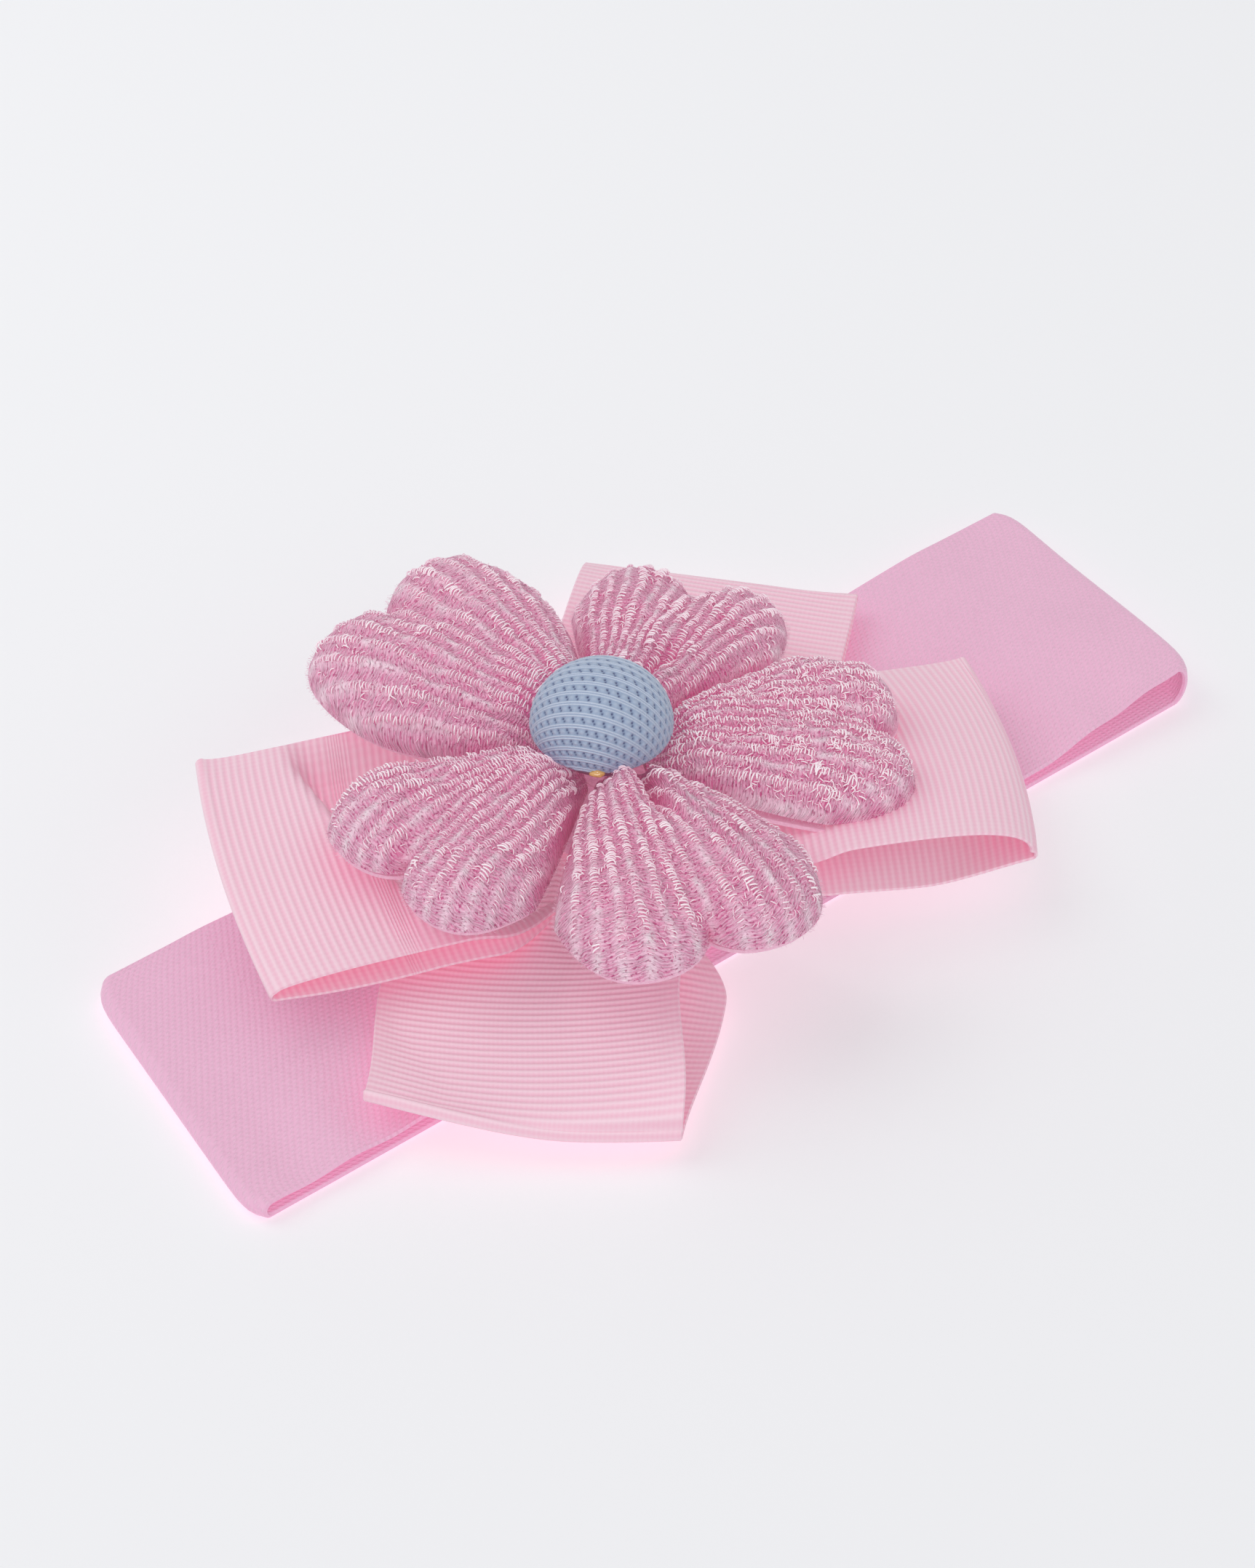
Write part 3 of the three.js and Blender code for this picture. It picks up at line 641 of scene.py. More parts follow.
def glueMaterial():
    material, tree, shader = newMaterial("hotGlue", Roughness=0.18, Coat_Weight=0.6)
    place = tree.nodes.new("ShaderNodeTexCoord").outputs["Object"]
    cloud = addNoise(tree, place, 1200, 2)
    amber = addMix(tree, cloud, linear(196, 140, 74), linear(232, 188, 120))
    link(tree, amber, shader.inputs["Base Color"])
    addBump(tree, shader, cloud, 0.00005)
    return material


bow = {
    "width": 38, "fabric": 0.45, "waist": 17, "waistReach": 6, "fold": 1.3,
    "lowerHeight": 4.7, "upperHeight": 6.2, "pleat": 0.7, "layerGap": 0.3, "rowsPerRib": 6,
}
bandCloth = bandMaterial(bandLook)
ribbonCloth = ribbonMaterial(ribbonLook, bow["width"])
petalCloth = petalMaterial(petalLook)
silkThread = silkMaterial(silkLook)
backingCloth = plainFabric("petalBacking", (240, 196, 216), (226, 160, 190), 0.06, 0.1, 2400, 0.00008)
feltCloth = plainFabric("feltPink", (236, 180, 206), (214, 138, 176), 0.1, 0.35, 1500, 0.00025)
threadCloth = plainFabric("threadPink", (238, 176, 204), (212, 132, 172), 0.05, 0.2, 4000, 0.00005,
                          roughness=0.6, sheen=0.2)
buttonCloth = buttonMaterial(buttonLook)
buttonMetal = metalMaterial()
hotGlue = glueMaterial()
print("materials ready")

# band

bandShape = {
    "halfWidth": 21.5, "waistHalfWidth": 20, "fabric": 0.7, "columns": 44, "cut": 60, "skew": 0.11,
    "pressed": 42, "level": 63, "rightEnd": 78.4, "leftEnd": 76.7, "corner": 1.6,
    "rightTop": (6.4, 3.4), "leftTop": (2.5, 2.9),      # top layer's height at its front and back edges
    "rightRise": 77, "leftRise": 66, "seamHalfGap": 0.32, "bulge": 2.0,
    "ripple": 0.22, "dents": 0.12, "wander": 0.25, "bendReach": 7, "rowStep": 0.8,
}
crownMid = (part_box("band_crown")[0].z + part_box("band_crown")[1].z) / 2 / mm
foldRight = Vector(joints["fold_right"]["pos_m"]) / mm


def bandTopHeight(shape, x, v, side):
    front, back = shape["rightTop"] if side > 0 else shape["leftTop"]
    end = mix(front, back, smooth(-1, 1, v))
    rise = mix(shape["rightRise"] if side > 0 else shape["leftRise"], shape["level"], smooth(-1, 0.6, v))
    return mix(crownMid, end, smooth(shape["pressed"], rise, x))


def bandColumn(shape, v, side):
    # one line of the band from the middle of its top layer, round the end, to the middle of the lower one
    low = shape["fabric"] / 2
    reach = shape["rightEnd"] if side > 0 else shape["leftEnd"]
    top = float(bandTopHeight(shape, reach, v, side))
    radius = (top - low) / 2
    bulge = min(radius, shape["bulge"])
    end = reach - shape["corner"] * abs(v) ** 14
    centre = end - bulge - low
    toCut = np.linspace(0, shape["cut"], shape["cut"] + 1)
    outward = np.concatenate([toCut, np.linspace(shape["cut"], centre, 15)[1:]])
    upper = np.stack([outward, bandTopHeight(shape, outward, v, side)], 1)
    angles = np.linspace(math.pi / 2, -math.pi / 2, 19)[1:-1]
    fold = np.stack([centre + bulge * np.cos(angles), low + radius + radius * np.sin(angles)], 1)
    lower = np.stack([np.linspace(centre, shape["seamHalfGap"], 70), np.full(70, low)], 1)
    return np.concatenate([upper, fold, lower]), len(outward)


def bandGrid(shape, side):
    columns = []
    for v in np.linspace(-1, 1, shape["columns"] + 1):
        path, turnAt = bandColumn(shape, v, side)
        x, z = path[:, 0], path[:, 1]
        onTop = np.arange(len(x)) < turnAt
        half = mix(shape["waistHalfWidth"], shape["halfWidth"], smooth(20, 48, x))
        half = np.where(onTop, half, shape["halfWidth"])
        y = v * half
        shift = shape["skew"] * y * smooth(10, 70, x) * side
        front = smooth(0.2, -1, v) * smooth(30, 50, x)
        ripple = shape["ripple"] * np.sin(x * 0.55 + 1.3 * side) * front
        ripple = ripple + shape["dents"] * softNoise(x / 6 + 9, y / 7 + 9, 3)
        ripple = np.where(onTop, ripple * smooth(26, 40, x) * smooth(75, 70, x), 0)
        wander = shape["wander"] * softNoise(x / 9 + 4, np.full_like(x, 5.5 + v), 8) * abs(v) ** 4
        columns.append(np.stack([side * (x + shift), y + wander * smooth(10, 30, x), z + ripple], 1))
    return np.stack(columns, 1)


def makeBand(shape):
    for side, word in ((1, "right"), (-1, "left")):
        grid = bandGrid(shape, side)
        if side > 0:
            grid = grid[:, ::-1]
        split = shape["cut"]
        upperRows = resampled(grid[:split + 1], shape["rowStep"])
        ringRows = grid[split:]
        upper = makeCloth("band_over_" + word, upperRows, shape["fabric"], bandCloth)
        ring = makeCloth("band_end_" + word, ringRows, shape["fabric"], bandCloth,
                         start=clothLength(upperRows))
        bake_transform(upper)
        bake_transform(ring)
        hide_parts("band_upper_" + word)
        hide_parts("band_lower_" + word)
        if side > 0:
            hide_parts("band_crown")


makeBand(bandShape)
print("band laid")

# ribbons

bowCentre = (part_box("bow_felt_pad")[0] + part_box("bow_felt_pad")[1]) / 2 / mm
lowerLoops = [
    {"at": (-4.1, 1.5), "heading": 222.5,
     "bulge": 1.6, "tuck": 3.6, "flare": 2.6, "arch": 0, "ridge": (60, 60), "hollow": 0,
     "left": {"reach": 46.6, "lift": 0.4, "droop": 1.3, "crest": 9.6},
     "right": {"reach": 50, "lift": 0.8, "droop": 0, "crest": 5.4}},
    {"at": (1.7, -3), "heading": 40.7,
     "bulge": 0.5, "tuck": 0, "flare": 0, "arch": 0, "ridge": (60, 60), "hollow": 0,
     "left": {"reach": 51.6, "lift": 2.2, "droop": 0, "crest": 10},
     "right": {"reach": 52.2, "lift": 2, "droop": 0, "crest": 7}},
]
upperLoops = [
    {"at": (0, 0), "heading": 160,
     "bulge": 1.4, "tuck": 0, "flare": 0, "arch": 2.6, "ridge": (23, 9.5), "hollow": 6.5,
     "left": {"reach": 51, "lift": 3.4, "droop": 0, "crest": 12.4},
     "right": {"reach": 51, "lift": 11.6, "droop": 0, "crest": 15.6}},
    {"at": (0, 0), "heading": -25.8,
     "bulge": 1.8, "tuck": 0, "flare": 0, "arch": 0, "ridge": (60, 60), "hollow": 0,
     "left": {"reach": 50.4, "lift": 5.4, "droop": 0, "crest": 9.8},
     "right": {"reach": 49, "lift": 6.4, "droop": 2.4, "crest": 15.6}},
]


def bandUnder(x):
    # top of the band under a ribbon
    half = bandShape["fabric"] / 2
    return mix(crownMid, foldRight.z, smooth(bandShape["pressed"], bandShape["level"], np.abs(x))) + half


def loopRows(loop, run, onTop, waistHeight, pitch):
    heading = math.radians(loop["heading"])
    across = np.linspace(1, -1, 25)
    share = (across + 1) / 2

    def side(key):
        return mix(loop["right"][key], loop["left"][key], share)

    run = np.asarray(run)[:, None]
    reach = side("reach") + loop["bulge"] * (1 - across ** 2)
    along = mix(bow["waistReach"], reach, run)
    spread = smooth(bow["waistReach"], bow["width"] * 0.6, along)
    wide = mix(bow["waist"], bow["width"], spread) / 2
    inward = smooth(0, 22, reach - along)
    tuck = loop["tuck"] * share * inward * (1 if onTop else -0.5)
    aside = across * wide - tuck - loop["flare"] * (1 - share) * inward
    x = bowCentre.x + loop["at"][0] + along * math.cos(heading) - aside * math.sin(heading)
    y = bowCentre.y + loop["at"][1] + along * math.sin(heading) + aside * math.cos(heading)
    pastBand = smooth(bandShape["halfWidth"], bandShape["halfWidth"] + 12, np.abs(y))
    settle = smooth(bow["waistReach"], bow["width"] * 0.65, along)
    below = bandUnder(x + math.cos(heading) * bow["fold"] / 2)
    fromFold = reach - along
    lying = below + side("lift") + bow["fabric"] / 2 - side("droop") * pastBand * smooth(-4, 14, fromFold)
    lying = lying + loop["arch"] * share * smooth(2, 22, fromFold)
    low = mix(waistHeight, lying, settle)
    crest = mix(loop["right"]["crest"], loop["left"]["crest"], share ** 2)
    puffed = mix(waistHeight + pitch, crest, smooth(0.05, 0.45, run))
    high = mix(low + bow["fold"], puffed, np.sqrt(1 - run ** 8))
    pastRidge = fromFold - mix(loop["ridge"][1], loop["ridge"][0], share)
    dip = smooth(0, 3.6, pastRidge) * smooth(0, 0.12, share) * smooth(1, 0.75, share)
    high = high - loop["hollow"] * dip
    high = np.maximum(high, below + 1.7)
    low = np.minimum(low, high - 0.8)
    pleats = bow["pleat"] * np.cos(across * 9.5) * (1 - smooth(8, 30, along))
    z = (high if onTop else low) + pleats
    return np.stack(np.broadcast_arrays(x, y, z), axis=2)


def loopFold(low, high, heading):
    outward = np.array([math.cos(math.radians(heading)), math.sin(math.radians(heading)), 0])
    gap = np.linalg.norm(high - low, axis=1)[:, None] / 2
    rows = []
    for angle in np.linspace(-math.pi / 2, math.pi / 2, 15)[1:-1]:
        rows.append((low + high) / 2 + outward * np.minimum(gap, 3) * math.cos(angle)
                    + np.array([0, 0, 1]) * gap * math.sin(angle))
    return np.stack(rows)


def ribbonRows(loops, base):
    waistHeight = base + bow["fabric"] / 2
    pitch = bow["fabric"] + bow["layerGap"]
    runs = np.sin(np.linspace(0, math.pi / 2, 60))
    parts = []
    for number, loop in enumerate(loops):
        low = loopRows(loop, runs, False, waistHeight, pitch)
        high = loopRows(loop, runs, True, waistHeight, pitch)
        fold = loopFold(low[-1], high[-1], loop["heading"])
        if number == 0:
            parts += [low, fold, high[::-1]]
        else:
            parts += [high[:, ::-1], fold[::-1, ::-1], low[::-1, ::-1]]
    parts.append(parts[0][:1])
    return np.concatenate(parts)


def makeRibbon(node, name, loops, base):
    rows = resampled(ribbonRows(loops, base), ribbonLook["pitch"] / bow["rowsPerRib"])
    length = clothLength(rows)
    ribs = round(length / ribbonLook["pitch"])
    rows = resampled(rows, length / (ribs * bow["rowsPerRib"]))[:-1]
    along = np.arange(len(rows))[:, None] / bow["rowsPerRib"]
    widths = np.linspace(-1, 1, rows.shape[1])[None, :]
    inner = smooth(1 - ribbonLook["selvage"] * 2 / bow["width"], 0.88, np.abs(widths))
    relief = ribbonLook["relief"] * np.cos(2 * math.pi * along) * inner
    piece = makeCloth(name, rows, bow["fabric"], ribbonCloth, closed=True, relief=relief,
                      stretch=ribs * ribbonLook["pitch"] / length)
    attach(piece, "bow")
    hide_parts(node)


makeRibbon("ribbon_front_back", "lower_ribbon", lowerLoops, bow["lowerHeight"])
makeRibbon("ribbon_left_right", "upper_ribbon", upperLoops, bow["upperHeight"])
print("bow tied")

# petals

petalShapes = [
    {"spread": 42, "length": 40.5, "halfWidth": 17.5, "pitch": 6.5,
     "height": 7.4, "crease": 0.5, "depth": 2.0, "loose": 700, "shine": 0.6, "backing": -0.9},
    {"spread": 29.5, "length": 38.5, "halfWidth": 16, "pitch": -5.5,
     "height": 6.4, "crease": -0.1, "depth": 4.2, "loose": 700, "shine": 0.6, "backing": -0.9},
    {"spread": 32.5, "length": 39.5, "halfWidth": 14.6, "pitch": -2.5,
     "height": 6.4, "crease": 0.35, "depth": 2.4, "loose": 3200, "shine": 1.0, "backing": 0.35},
    {"spread": 34.5, "length": 40.5, "halfWidth": 16.8, "pitch": 3.5,
     "height": 7.4, "crease": 0.14, "depth": 4.6, "loose": 900, "shine": 0.6, "backing": -0.9},
    {"spread": 31.5, "length": 37.4, "halfWidth": 16, "pitch": 5.5,
     "height": 7.2, "crease": -0.4, "depth": 2.2, "loose": 700, "shine": 0.6, "backing": -0.9},
]
petalMake = {
    "hingeRadius": 9.4, "sideGap": 0.45, "notch": 4, "base": 0.8, "rim": 0.85, "rootX": -4.2,
    "ribs": 13, "ribHeight": 0.36, "rows": 84, "columns": 236, "puffCurve": 2.3,
    "lobeDip": 0.9, "lobeWidth": 3.4, "creaseWidth": 0.085, "foldCount": 15, "foldDepth": 0.5,
    "dents": 0.5, "smallDents": 0.3, "lumps": 0.55, "rungs": 0.05, "rungPitch": 0.9,
    "backingRows": 25, "backingColumns": 65, "backingThickness": 0.5,
}


def curve(points, count):
    # a smooth curve through its end points
    points = np.array(points, float)
    t = np.linspace(0, 1, count)[:, None]
    degree = len(points) - 1
    return sum(math.comb(degree, k) * (1 - t) ** (degree - k) * t ** k * points[k]
               for k in range(degree + 1))


def petalRim(shape, make):
    # the heart outline from one side of the root, round both lobes, to the other side
    slope = math.tan(math.radians(shape["spread"]))
    length = shape["length"] - make["hingeRadius"]
    wide = shape["halfWidth"]

    def sideAt(x):
        return min((x + make["hingeRadius"]) * slope - make["sideGap"], wide)

    root = (make["rootX"], sideAt(make["rootX"]))
    belly = (length * 0.58, sideAt(length * 0.58))
    near, middle = (length * 0.1, sideAt(length * 0.1)), (length * 0.28, sideAt(length * 0.32))
    half = np.concatenate([
        curve([root, near, middle, belly], 40)[:-1],
        curve([belly, (length * 0.82, belly[1]), (length, wide * 0.85), (length, wide * 0.45)], 40)[:-1],
        curve([(length, wide * 0.45), (length, wide * 0.12), (length - make["notch"], 0)], 20),
    ])
    return np.concatenate([half * (1, -1), half[::-1][1:]])


def evenly(line, count):
    length = np.concatenate([[0], np.cumsum(np.linalg.norm(np.diff(line, axis=0), axis=1))])
    wanted = np.linspace(0, length[-1], count)
    return np.stack([np.interp(wanted, length, column) for column in line.T], 1)


def rimDistance(points, rim):
    best = np.full(len(points), 1e9)
    for a, b in zip(rim[:-1], rim[1:]):
        step = b - a
        share = np.clip(((points - a) @ step) / max(step @ step, 1e-9), 0, 1)[:, None]
        best = np.minimum(best, np.linalg.norm(points - (a + share * step), axis=1))
    return best


def petalFan(x, y, shape, make, number):
    # angle and reach from the gathered root, and which rib a point lies on
    apex = make["rootX"] - 6
    angle, reach = np.arctan2(y, x - apex), np.hypot(y, x - apex)
    fan = math.radians(shape["spread"]) * 0.9
    gain = 1 + 0.14 * smooth(12, 42, reach)
    drift = 0.18 * softNoise(reach / 5 + 3, angle * 6 + 20, 11 + number)
    return angle, reach, angle / fan * make["ribs"] / 2 * gain + drift


def petalHeight(x, y, distance, shape, make, number):
    angle, reach, rib = petalFan(x, y, shape, make, number)
    slope = math.tan(math.radians(shape["spread"]))
    local = np.minimum((x + make["hingeRadius"]) * slope, shape["halfWidth"]) * 0.8
    u = np.clip(distance / np.maximum(local, 2.2), 0, 1)
    puff = np.sqrt(np.maximum(1 - (1 - u) ** make["puffCurve"], 0))
    height = shape["height"] * puff * mix(0.38, 1, smooth(-4, 3, x))
    lobes = make["lobeDip"] * np.exp(-(y / make["lobeWidth"]) ** 2) * smooth(12, 26, x)
    bend = shape["crease"] + 0.06 * np.sin(reach / 4)
    crease = np.exp(-((angle - bend) / make["creaseWidth"]) ** 2)
    crease = crease * smooth(3, 7, reach) * smooth(26, 12, reach)
    folds = np.cos((angle - bend) * make["foldCount"] + number)
    folds = folds * smooth(24, 8, reach) * smooth(2, 6, reach)
    height = height - (lobes + shape["depth"] * crease - make["foldDepth"] * folds) * smooth(0, 0.6, u)
    height = height + make["dents"] * softNoise(x / 5.5 + 30, y / 5.5 + 30, 21 + number) * puff
    height = height + make["smallDents"] * softNoise(x / 2.4 + 7, y / 2.4 + 9, 25 + number) * puff
    ridge = (0.5 + 0.5 * np.cos(2 * math.pi * rib)) ** 1.4
    lumps = 1 + make["lumps"] * softNoise(np.round(rib) * 3 + 5, reach / 1.3, 41 + number)
    sway = 2 * softNoise(rib * 2 + 9, reach / 3, 45 + number)
    rungs = make["rungs"] * np.cos(2 * math.pi * reach / make["rungPitch"] + sway)
    nearRim = smooth(0.9, 2.2, distance)
    height = height + (make["ribHeight"] * ridge * lumps + rungs * (1 - ridge)) * nearRim
    return height, rib, reach


def petalPlace(points, hinge, heading, pitch):
    tilt, turn = math.radians(pitch), math.radians(heading)
    x = points[..., 0] * math.cos(tilt) - points[..., 2] * math.sin(tilt)
    z = points[..., 0] * math.sin(tilt) + points[..., 2] * math.cos(tilt)
    y = points[..., 1]
    return np.stack([hinge.x + x * math.cos(turn) - y * math.sin(turn),
                     hinge.y + x * math.sin(turn) + y * math.cos(turn), hinge.z + z], axis=-1)


def closedPad(name, top, bottom, flat, material):
    # top and bottom share their columns; each row is a ring, and both ends are closed by strips
    rows, across = top.shape[:2]
    ring = np.concatenate([top, bottom[:, ::-1]], 1)
    flats = np.concatenate([flat, flat[:, ::-1]], 1)
    around = ring.shape[1]
    index = np.arange(rows * around).reshape(rows, around)
    a, b = index[:-1], index[1:]
    faces = np.stack([a, np.roll(a, -1, 1), np.roll(b, -1, 1), b], axis=2).reshape(-1, 4).tolist()
    for row in (index[0], index[-1]):
        for k in range(across - 1):
            faces.append([int(row[k]), int(row[k + 1]), int(row[around - k - 2]), int(row[around - k - 1])])
    return makePiece(name, ring.reshape(-1, 3), faces, material, flats.reshape(-1, 2), 80)


threadLook = {
    "pitch": 0.44, "length": 1.0, "thickness": 0.19, "rise": 0.3, "lean": 0.3, "aside": 0.15,
    "looseLean": 1.6, "looseSize": 0.8, "nearRoot": 8.5, "farReach": 46,
    "hairs": 900, "hairLength": 0.9, "hairThickness": 0.06, "hairRise": 0.12,
}


def petalThreads(rim, shape, make, number, place):
    # short bright threads that cross each rib, thick where the yarn is thick
    random = np.random.RandomState(70 + number)
    xs, ys = [], []
    fan = math.radians(shape["spread"]) * 0.9
    apex = make["rootX"] - 6
    for rib in range(-make["ribs"], make["ribs"] + 1):
        reach = np.arange(threadLook["nearRoot"], threadLook["farReach"], threadLook["pitch"])
        reach = reach + random.uniform(-0.08, 0.08, len(reach))
        gain = 1 + 0.14 * smooth(12, 42, reach)
        angle = rib * fan * 2 / make["ribs"] / gain
        for _ in range(3):
            drift = 0.18 * softNoise(reach / 5 + 3, angle * 6 + 20, 11 + number)
            angle = (rib - drift) * fan * 2 / make["ribs"] / gain
        xs.append(apex + reach * np.cos(angle))
        ys.append(reach * np.sin(angle))
    x, y = np.concatenate(xs), np.concatenate(ys)
    inside = pointInside(np.stack([x, y], 1), rim)
    x, y = x[inside], y[inside]
    loose = random.uniform(0, 1, (shape["loose"], 2)) * (shape["length"], 2 * shape["halfWidth"])
    loose = loose - (make["hingeRadius"], shape["halfWidth"])
    loose = loose[pointInside(loose, rim)]
    straight = len(x)
    x, y = np.concatenate([x, loose[:, 0]]), np.concatenate([y, loose[:, 1]])
    distance = rimDistance(np.stack([x, y], 1), rim)
    angle, reach, rib = petalFan(x, y, shape, make, number)
    slub = softNoise(np.round(rib) * 5 + 11, reach / 2.2, 61 + number)
    slub = slub + 0.5 * softNoise(np.round(rib) * 7 + 3, reach / 0.8, 62 + number)
    onRib = np.arange(len(x)) < straight
    slub = np.where(onRib, slub, 0.9 * slub)
    keep = (distance > 0.6) & (slub > -0.6) & (x > -1.5)
    x, y, slub, onRib = x[keep], y[keep], slub[keep], onRib[keep]
    side = random.uniform(-threadLook["aside"], threadLook["aside"], len(x))
    x, y = x - side * np.sin(angle[keep]), y + side * np.cos(angle[keep])

    def surface(px, py):
        d = rimDistance(np.stack([px, py], 1), rim)
        height = petalHeight(px, py, d, shape, make, number)[0]
        return place(np.stack([px, py, make["base"] + make["rim"] + height], 1))

    step = 0.3
    centre = surface(x, y)
    outward = surface(x + step, y) - centre
    sideways = surface(x, y + step) - centre
    up = np.cross(outward, sideways)
    up = up / np.linalg.norm(up, axis=1, keepdims=True)
    lean = np.where(onRib, threadLook["lean"], threadLook["looseLean"]) * random.uniform(-1, 1, len(x))
    lean = angle[keep] + math.pi / 2 + lean
    lie = outward * np.cos(lean)[:, None] + sideways * np.sin(lean)[:, None]
    lie = lie / np.linalg.norm(lie, axis=1, keepdims=True)
    size = np.clip(0.85 + 0.35 * slub, 0.45, 1.3) * random.uniform(0.8, 1.15, len(x))
    size = np.where(onRib, size, threadLook["looseSize"] * size)
    shade = (shape["shine"] + 0.45 * slub) * random.uniform(0.5, 1.4, len(x))
    return centre + up * 0.02, lie, up, size, shade


def rimHairs(rim, make, number, place):
    # loose fibres round the seam of the petal
    random = np.random.RandomState(90 + number)
    line = evenly(rim, threadLook["hairs"] + 2)
    run = np.gradient(line, axis=0)
    outward = np.stack([run[:, 1], -run[:, 0]], 1)
    outward = outward / np.linalg.norm(outward, axis=1, keepdims=True)
    keep = line[:, 0] > 4
    line, outward = line[keep], outward[keep]
    count = len(line)
    z = make["base"] + make["rim"] + random.uniform(-0.5, 1.0, count)
    start = np.concatenate([line - outward * 0.1, z[:, None]], 1)
    spread, climb = random.uniform(-0.7, 0.7, (count, 2)), random.uniform(-0.5, 0.7, (count, 1))
    tip = np.concatenate([outward + spread, climb], 1)
    ends = place(start + tip * 0.2)
    lie = ends - place(start)
    lie = lie / np.linalg.norm(lie, axis=1, keepdims=True)
    up = np.cross(lie, random.uniform(-1, 1, (count, 3)))
    up = up / np.linalg.norm(up, axis=1, keepdims=True)
    return ends, lie, up, random.uniform(0.35, 0.75, count), random.uniform(0, 0.5, count)


def pointInside(points, rim):
    # even-odd test against the closed outline
    inside = np.zeros(len(points), bool)
    closed = np.concatenate([rim, rim[:1]])
    for a, b in zip(closed[:-1], closed[1:]):
        crosses = (a[1] > points[:, 1]) != (b[1] > points[:, 1])
        rise = b[1] - a[1] if abs(b[1] - a[1]) > 1e-9 else 1e-9
        at = a[0] + (points[:, 1] - a[1]) / rise * (b[0] - a[0])
        inside ^= crosses & (points[:, 0] < at)
    return inside


def makePetal(number, shape, make):
    joint = joints[f"petal_{number}_lift"]
    hinge = Vector(joint["pos_m"]) / mm
    heading = math.degrees(math.atan2(joint["axis"][0], -joint["axis"][1]))

    def place(points):
        return petalPlace(points, hinge, heading, shape["pitch"])

    rim = petalRim(shape, make)
    ends = evenly(rim, make["columns"] + 1)
    share = 1 - (1 - np.linspace(0, 1, make["rows"] + 1)) ** 1.35
    w = np.linspace(-1, 1, make["columns"] + 1)
    rootHalf = abs(rim[0, 1]) * 0.9
    root = np.stack([np.full_like(w, make["rootX"]), rootHalf * w], 1)
    plan = root[None] + share[:, None, None] * (ends - root)[None]
    coarse = evenly(rim, 160)
    distance = rimDistance(plan.reshape(-1, 2), coarse).reshape(plan.shape[:2])
    distance = distance * smooth(0, 0.02, 1 - share)[:, None]
    height, rib, _ = petalHeight(plan[..., 0], plan[..., 1], distance, shape, make, number)
    seam = make["base"] + make["rim"]
    under = make["base"] + (make["rim"] - 0.05) * (1 - smooth(0, 2.4, distance)) - 0.05
    top = np.concatenate([plan, (seam + height)[..., None]], 2)
    bottom = np.concatenate([plan, under[..., None]], 2)
    steps = np.linalg.norm(np.diff(top, axis=0), axis=2)
    along = np.concatenate([np.zeros((1, len(w))), np.cumsum(steps, axis=0)])
    pad = closedPad(f"petal_{number}_pad", place(top), place(bottom), np.stack([rib, along], 2),
                    petalCloth)
    threads = layThreads(f"petal_{number}_threads", petalThreads(coarse, shape, make, number, place),
                         threadLook["length"], threadLook["thickness"], threadLook["rise"], silkThread)
    hairs = layThreads(f"petal_{number}_fuzz", rimHairs(coarse, make, number, place),
                       threadLook["hairLength"], threadLook["hairThickness"], threadLook["hairRise"],
                       silkThread, sides=3)
    backRim = evenly(rim, make["backingColumns"])
    spread = np.linspace(0, 1, make["backingRows"])[:, None, None]
    v = np.linspace(-1, 1, make["backingColumns"])
    start = np.stack([np.full_like(v, -1.5), 2.4 * v], 1)
    outward = backRim - np.array([shape["length"] * 0.4, 0])
    outward = outward / np.linalg.norm(outward, axis=1, keepdims=True)
    backPlan = start[None] + spread * (backRim + outward * shape["backing"] - start)[None]
    backHeight = 0.3 + 0.25 * spread[..., 0] ** 6
    backHeight = backHeight + 0.1 * softNoise(backPlan[..., 0] / 5, backPlan[..., 1] / 5, 50)
    backRows = place(np.concatenate([backPlan, backHeight[..., None]], 2))
    back = makeCloth(f"petal_{number}_backing", backRows, make["backingThickness"], backingCloth)
    for piece, slot, nodes in (
        (pad, "petal_knit", ("root", "front", "filling")), (back, "petal_backing", ("back",)),
        (threads, "petal_knit", ()), (hairs, "petal_knit", ()),
    ):
        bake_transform(piece)
        if nodes:
            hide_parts(*[f"petal_{number}_{node}" for node in nodes])


for number, shape in enumerate(petalShapes, 1):
    makePetal(number, shape, petalMake)
print("petals stuffed")

# button

buttonShape = {
    "rings": 190, "spokes": 400, "lining": 8, "mouth": 0.72, "dome": 8.1, "wall": 0.6,
    "across": 1.28, "rows": 1.34, "turn": 52, "pit": 0.24, "pitWidth": 0.12, "pitLength": 0.14,
    "line": 0.13, "lineGap": 0.15, "lineWidth": 0.085, "knob": 0.15,
}


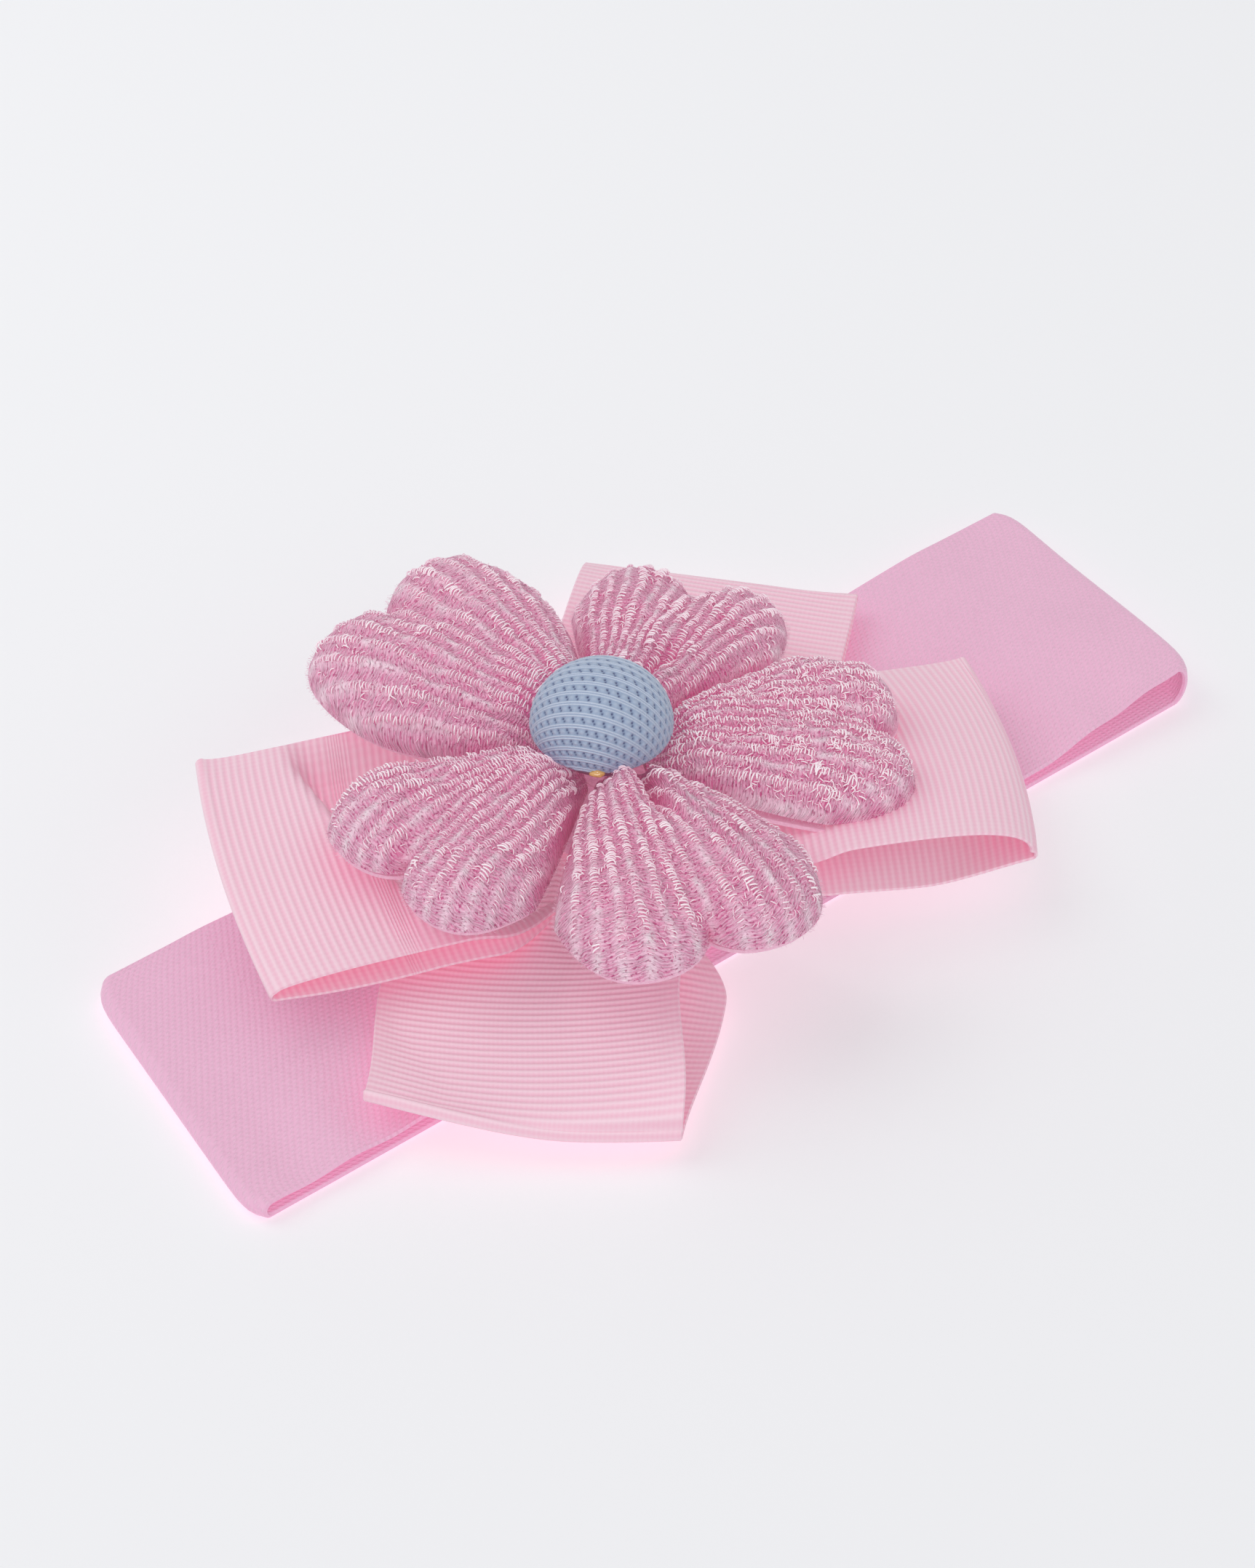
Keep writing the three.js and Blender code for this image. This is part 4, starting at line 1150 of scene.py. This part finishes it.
def makeButton(shape):
    low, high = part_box("button_cover")
    centre = (low + high) / 2 / mm
    radius = (high.x - low.x) / 2 / mm
    dome = shape["dome"]
    equator = high.z / mm - dome
    under = equator - low.z / mm
    turnIn = math.acos(shape["mouth"])
    lower, upper = np.linspace(-turnIn, 0, 18), np.linspace(0, math.pi / 2, shape["rings"])
    tilt = np.concatenate([lower[:-1], upper[:-1]])
    spin = np.linspace(0, 2 * math.pi, shape["spokes"], endpoint=False)
    tall = np.where(tilt > 0, dome, under)
    r = radius * np.cos(tilt)[:, None]
    z = (tall * np.sin(tilt))[:, None]
    fromTop = radius * (math.pi / 2 - tilt[:, None]) * 0.86
    turned = spin[None] + math.radians(shape["turn"])
    u, v = fromTop * np.cos(turned) / shape["across"], fromTop * np.sin(turned) / shape["rows"]
    row = np.floor(v)
    across = u + 0.5 * (row % 2) + 0.08 * softNoise(u + 20, v + 20, 5)
    dx = (across - np.round(across)) * shape["across"]
    dy = (v - row - 0.5) * shape["rows"]
    wide, tallPit = shape["pitWidth"], shape["pitLength"]
    pit = np.exp(-(((dx + 0.12) / wide) ** 2 + ((dy - 0.16) / tallPit) ** 2))
    pit = pit + 0.8 * np.exp(-(((dx - 0.09) / wide) ** 2 + ((dy + 0.16) / tallPit) ** 2))
    pit = np.clip(pit, 0, 1)
    knob = np.exp(-(((np.abs(dx) - shape["across"] / 2) / 0.32) ** 2 + (dy / 0.3) ** 2))
    fromLine = np.abs(v - np.round(v)) * shape["rows"] - shape["lineGap"]
    lines = np.exp(-(fromLine / shape["lineWidth"]) ** 2)
    shift = shape["line"] * lines + shape["knob"] * knob - shape["pit"] * pit
    wall = shift * smooth(-0.5, 0.1, tilt)[:, None]
    normalR = np.cos(tilt)[:, None] * tall[:, None]
    normalZ = np.sin(tilt)[:, None] * radius
    size = np.hypot(normalR, normalZ)
    rr, zz = r + wall * normalR / size, z + wall * normalZ / size
    outside = np.stack([rr * np.cos(spin), rr * np.sin(spin), np.broadcast_to(zz, rr.shape)], 2)
    rings = len(tilt)
    kept = np.unique(np.append(np.arange(0, rings, shape["lining"]), rings - 1))
    insideR = np.maximum(r - shape["wall"] * normalR / size, 0.1)[kept]
    insideZ = (z - shape["wall"] * normalZ / size)[kept]
    inside = np.stack([insideR * np.cos(spin), insideR * np.sin(spin),
                       np.broadcast_to(insideZ, insideR.shape[:1] + spin.shape)], 2)
    points = np.concatenate([outside.reshape(-1, 3), inside.reshape(-1, 3),
                             [[0, 0, dome], [0, 0, dome - shape["wall"]]]]) + (centre.x, centre.y, equator)
    index = np.arange((rings + len(kept)) * shape["spokes"]).reshape(-1, shape["spokes"])
    index = (index[:rings], index[rings:])
    faces = []
    for wallIndex in index:
        a, b = wallIndex[:-1], wallIndex[1:]
        faces += np.stack([a, np.roll(a, -1, 1), np.roll(b, -1, 1), b], 2).reshape(-1, 4).tolist()
    a, b = index[0][0], index[1][0]
    faces += np.stack([a, np.roll(a, -1), np.roll(b, -1), b], 1).tolist()
    for layer in (0, 1):
        last = index[layer][-1]
        tip = len(points) - 2 + layer
        faces += [[int(p), int(q), tip] for p, q in zip(last, np.roll(last, -1))]
    piece = makePiece("button_cloth", points, faces, buttonCloth, None, 80)
    weave = np.zeros((len(points), 3), np.float32)
    weave[:rings * shape["spokes"], 0] = (lines + 0.35 * knob).ravel()
    # pit mask: the knit's holes, darkened by the material as painted shade
    weave[:rings * shape["spokes"], 1] = np.clip(pit * 1.1, 0, 1).ravel()
    layer = piece.data.attributes.new("weave", "FLOAT_VECTOR", "POINT")
    layer.data.foreach_set("vector", weave.ravel())
    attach(piece, "bow")
    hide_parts("button_cover")


glueShape = {"heading": -131, "out": 9.2, "height": 23.1, "size": (1.0, 0.65, 0.45), "seed": 4}


def makeGlueBead(shape):
    # a squeezed drop that shows at the rim of the button
    work = bmesh.new()
    bmesh.ops.create_icosphere(work, subdivisions=4, radius=1)
    points = np.array([vertex.co for vertex in work.verts])
    faces = [[vertex.index for vertex in face.verts] for face in work.faces]
    work.free()
    bumps = softNoise(points[:, 0] * 1.6 + 9, points[:, 1] * 1.6 + points[:, 2] + 9, shape["seed"])
    points = points * (1 + 0.18 * bumps)[:, None] * shape["size"]
    turn = math.radians(shape["heading"] + 90)
    x = points[:, 0] * math.cos(turn) - points[:, 1] * math.sin(turn)
    y = points[:, 0] * math.sin(turn) + points[:, 1] * math.cos(turn)
    low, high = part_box("button_cover")
    centre = (low + high) / 2 / mm
    out = math.radians(shape["heading"])
    place = (centre.x + shape["out"] * math.cos(out), centre.y + shape["out"] * math.sin(out),
             shape["height"])
    piece = makePiece("glue_drop", np.stack([x, y, points[:, 2]], 1) + place, faces, hotGlue, None, 80)
    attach(piece, "bow")
    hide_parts("glue_bead")


makeButton(buttonShape)
makeGlueBead(glueShape)
print("button covered")

keptNodes = {
    "button_shell": buttonMetal, "button_back_plate": buttonMetal, "button_glue_pad": hotGlue,
    "bow_felt_pad": feltCloth, "flower_felt_base": feltCloth, "bow_gather_thread": threadCloth,
    "petal_gather_thread": threadCloth, "band_seam_stitching": threadCloth,
}
for node, material in keptNodes.items():
    slots = frame["nodes"][node].material_slots
    for slot in slots:
        slot.material = material
    if not slots:
        frame["nodes"][node].data.materials.append(material)
print("inner parts finished")

# stage

stageLook = {
    "floor": (0.88, 0.885, 0.91), "floorHalf": 2000, "floorDrop": 0.1,
    # bounce: painted glow on the floor near the object, standing in for bounced light
    "bounce": (1.0, 0.94, 0.96, 1), "bounceReach": 24, "bounceStrength": 0.31,
    "world": 0.67, "key": 0.85, "keyToward": (0.25, -0.35, -0.6), "keySize": 0.5,
    "fill": 0.85, "fillToward": (0.42, 0.55, -0.72),
}


def makeStage(look):
    material, tree, shader = newMaterial("paleFloor", Roughness=0.9)
    shader.inputs["Base Color"].default_value = (*look["floor"], 1)
    # painted light: emission on the floor where the ambient-occlusion mask finds shelter, lightening the
    # object's shadow with a pink glow
    closed = addMath(tree, "SUBTRACT", 1, addShelter(tree, look["bounceReach"]), clamp=True)
    link(tree, addMix(tree, closed, (0, 0, 0, 1), look["bounce"]), shader.inputs["Emission Color"])
    shader.inputs["Emission Strength"].default_value = look["bounceStrength"]
    half = look["floorHalf"]
    points = [(x * half, y * half, -look["floorDrop"]) for x, y in ((-1, -1), (1, -1), (1, 1), (-1, 1))]
    floor = makePiece("floor", points, [[0, 1, 2, 3]], material)
    world = bpy.data.worlds.new("studio")
    world.use_nodes = True
    background = world.node_tree.nodes["Background"]
    background.inputs[0].default_value = (1, 1, 1, 1)
    background.inputs[1].default_value = look["world"]
    bpy.context.scene.world = world
    for name, kind, shadow in (("key", "AREA", True), ("fill", "SUN", False)):
        toward = look[name + "Toward"]
        data = bpy.data.lights.new(name, kind)
        data.energy = look[name]
        data.use_shadow = shadow
        if kind == "AREA":
            data.size = look["keySize"]
        light = bpy.data.objects.new(name, data)
        light.location = -Vector(toward)
        light.rotation_euler = Vector(toward).to_track_quat("-Z", "Y").to_euler()
        bpy.context.scene.collection.objects.link(light)
    bpy.context.scene.view_settings.view_transform = "Standard"


makeStage(stageLook)
print("stage set")
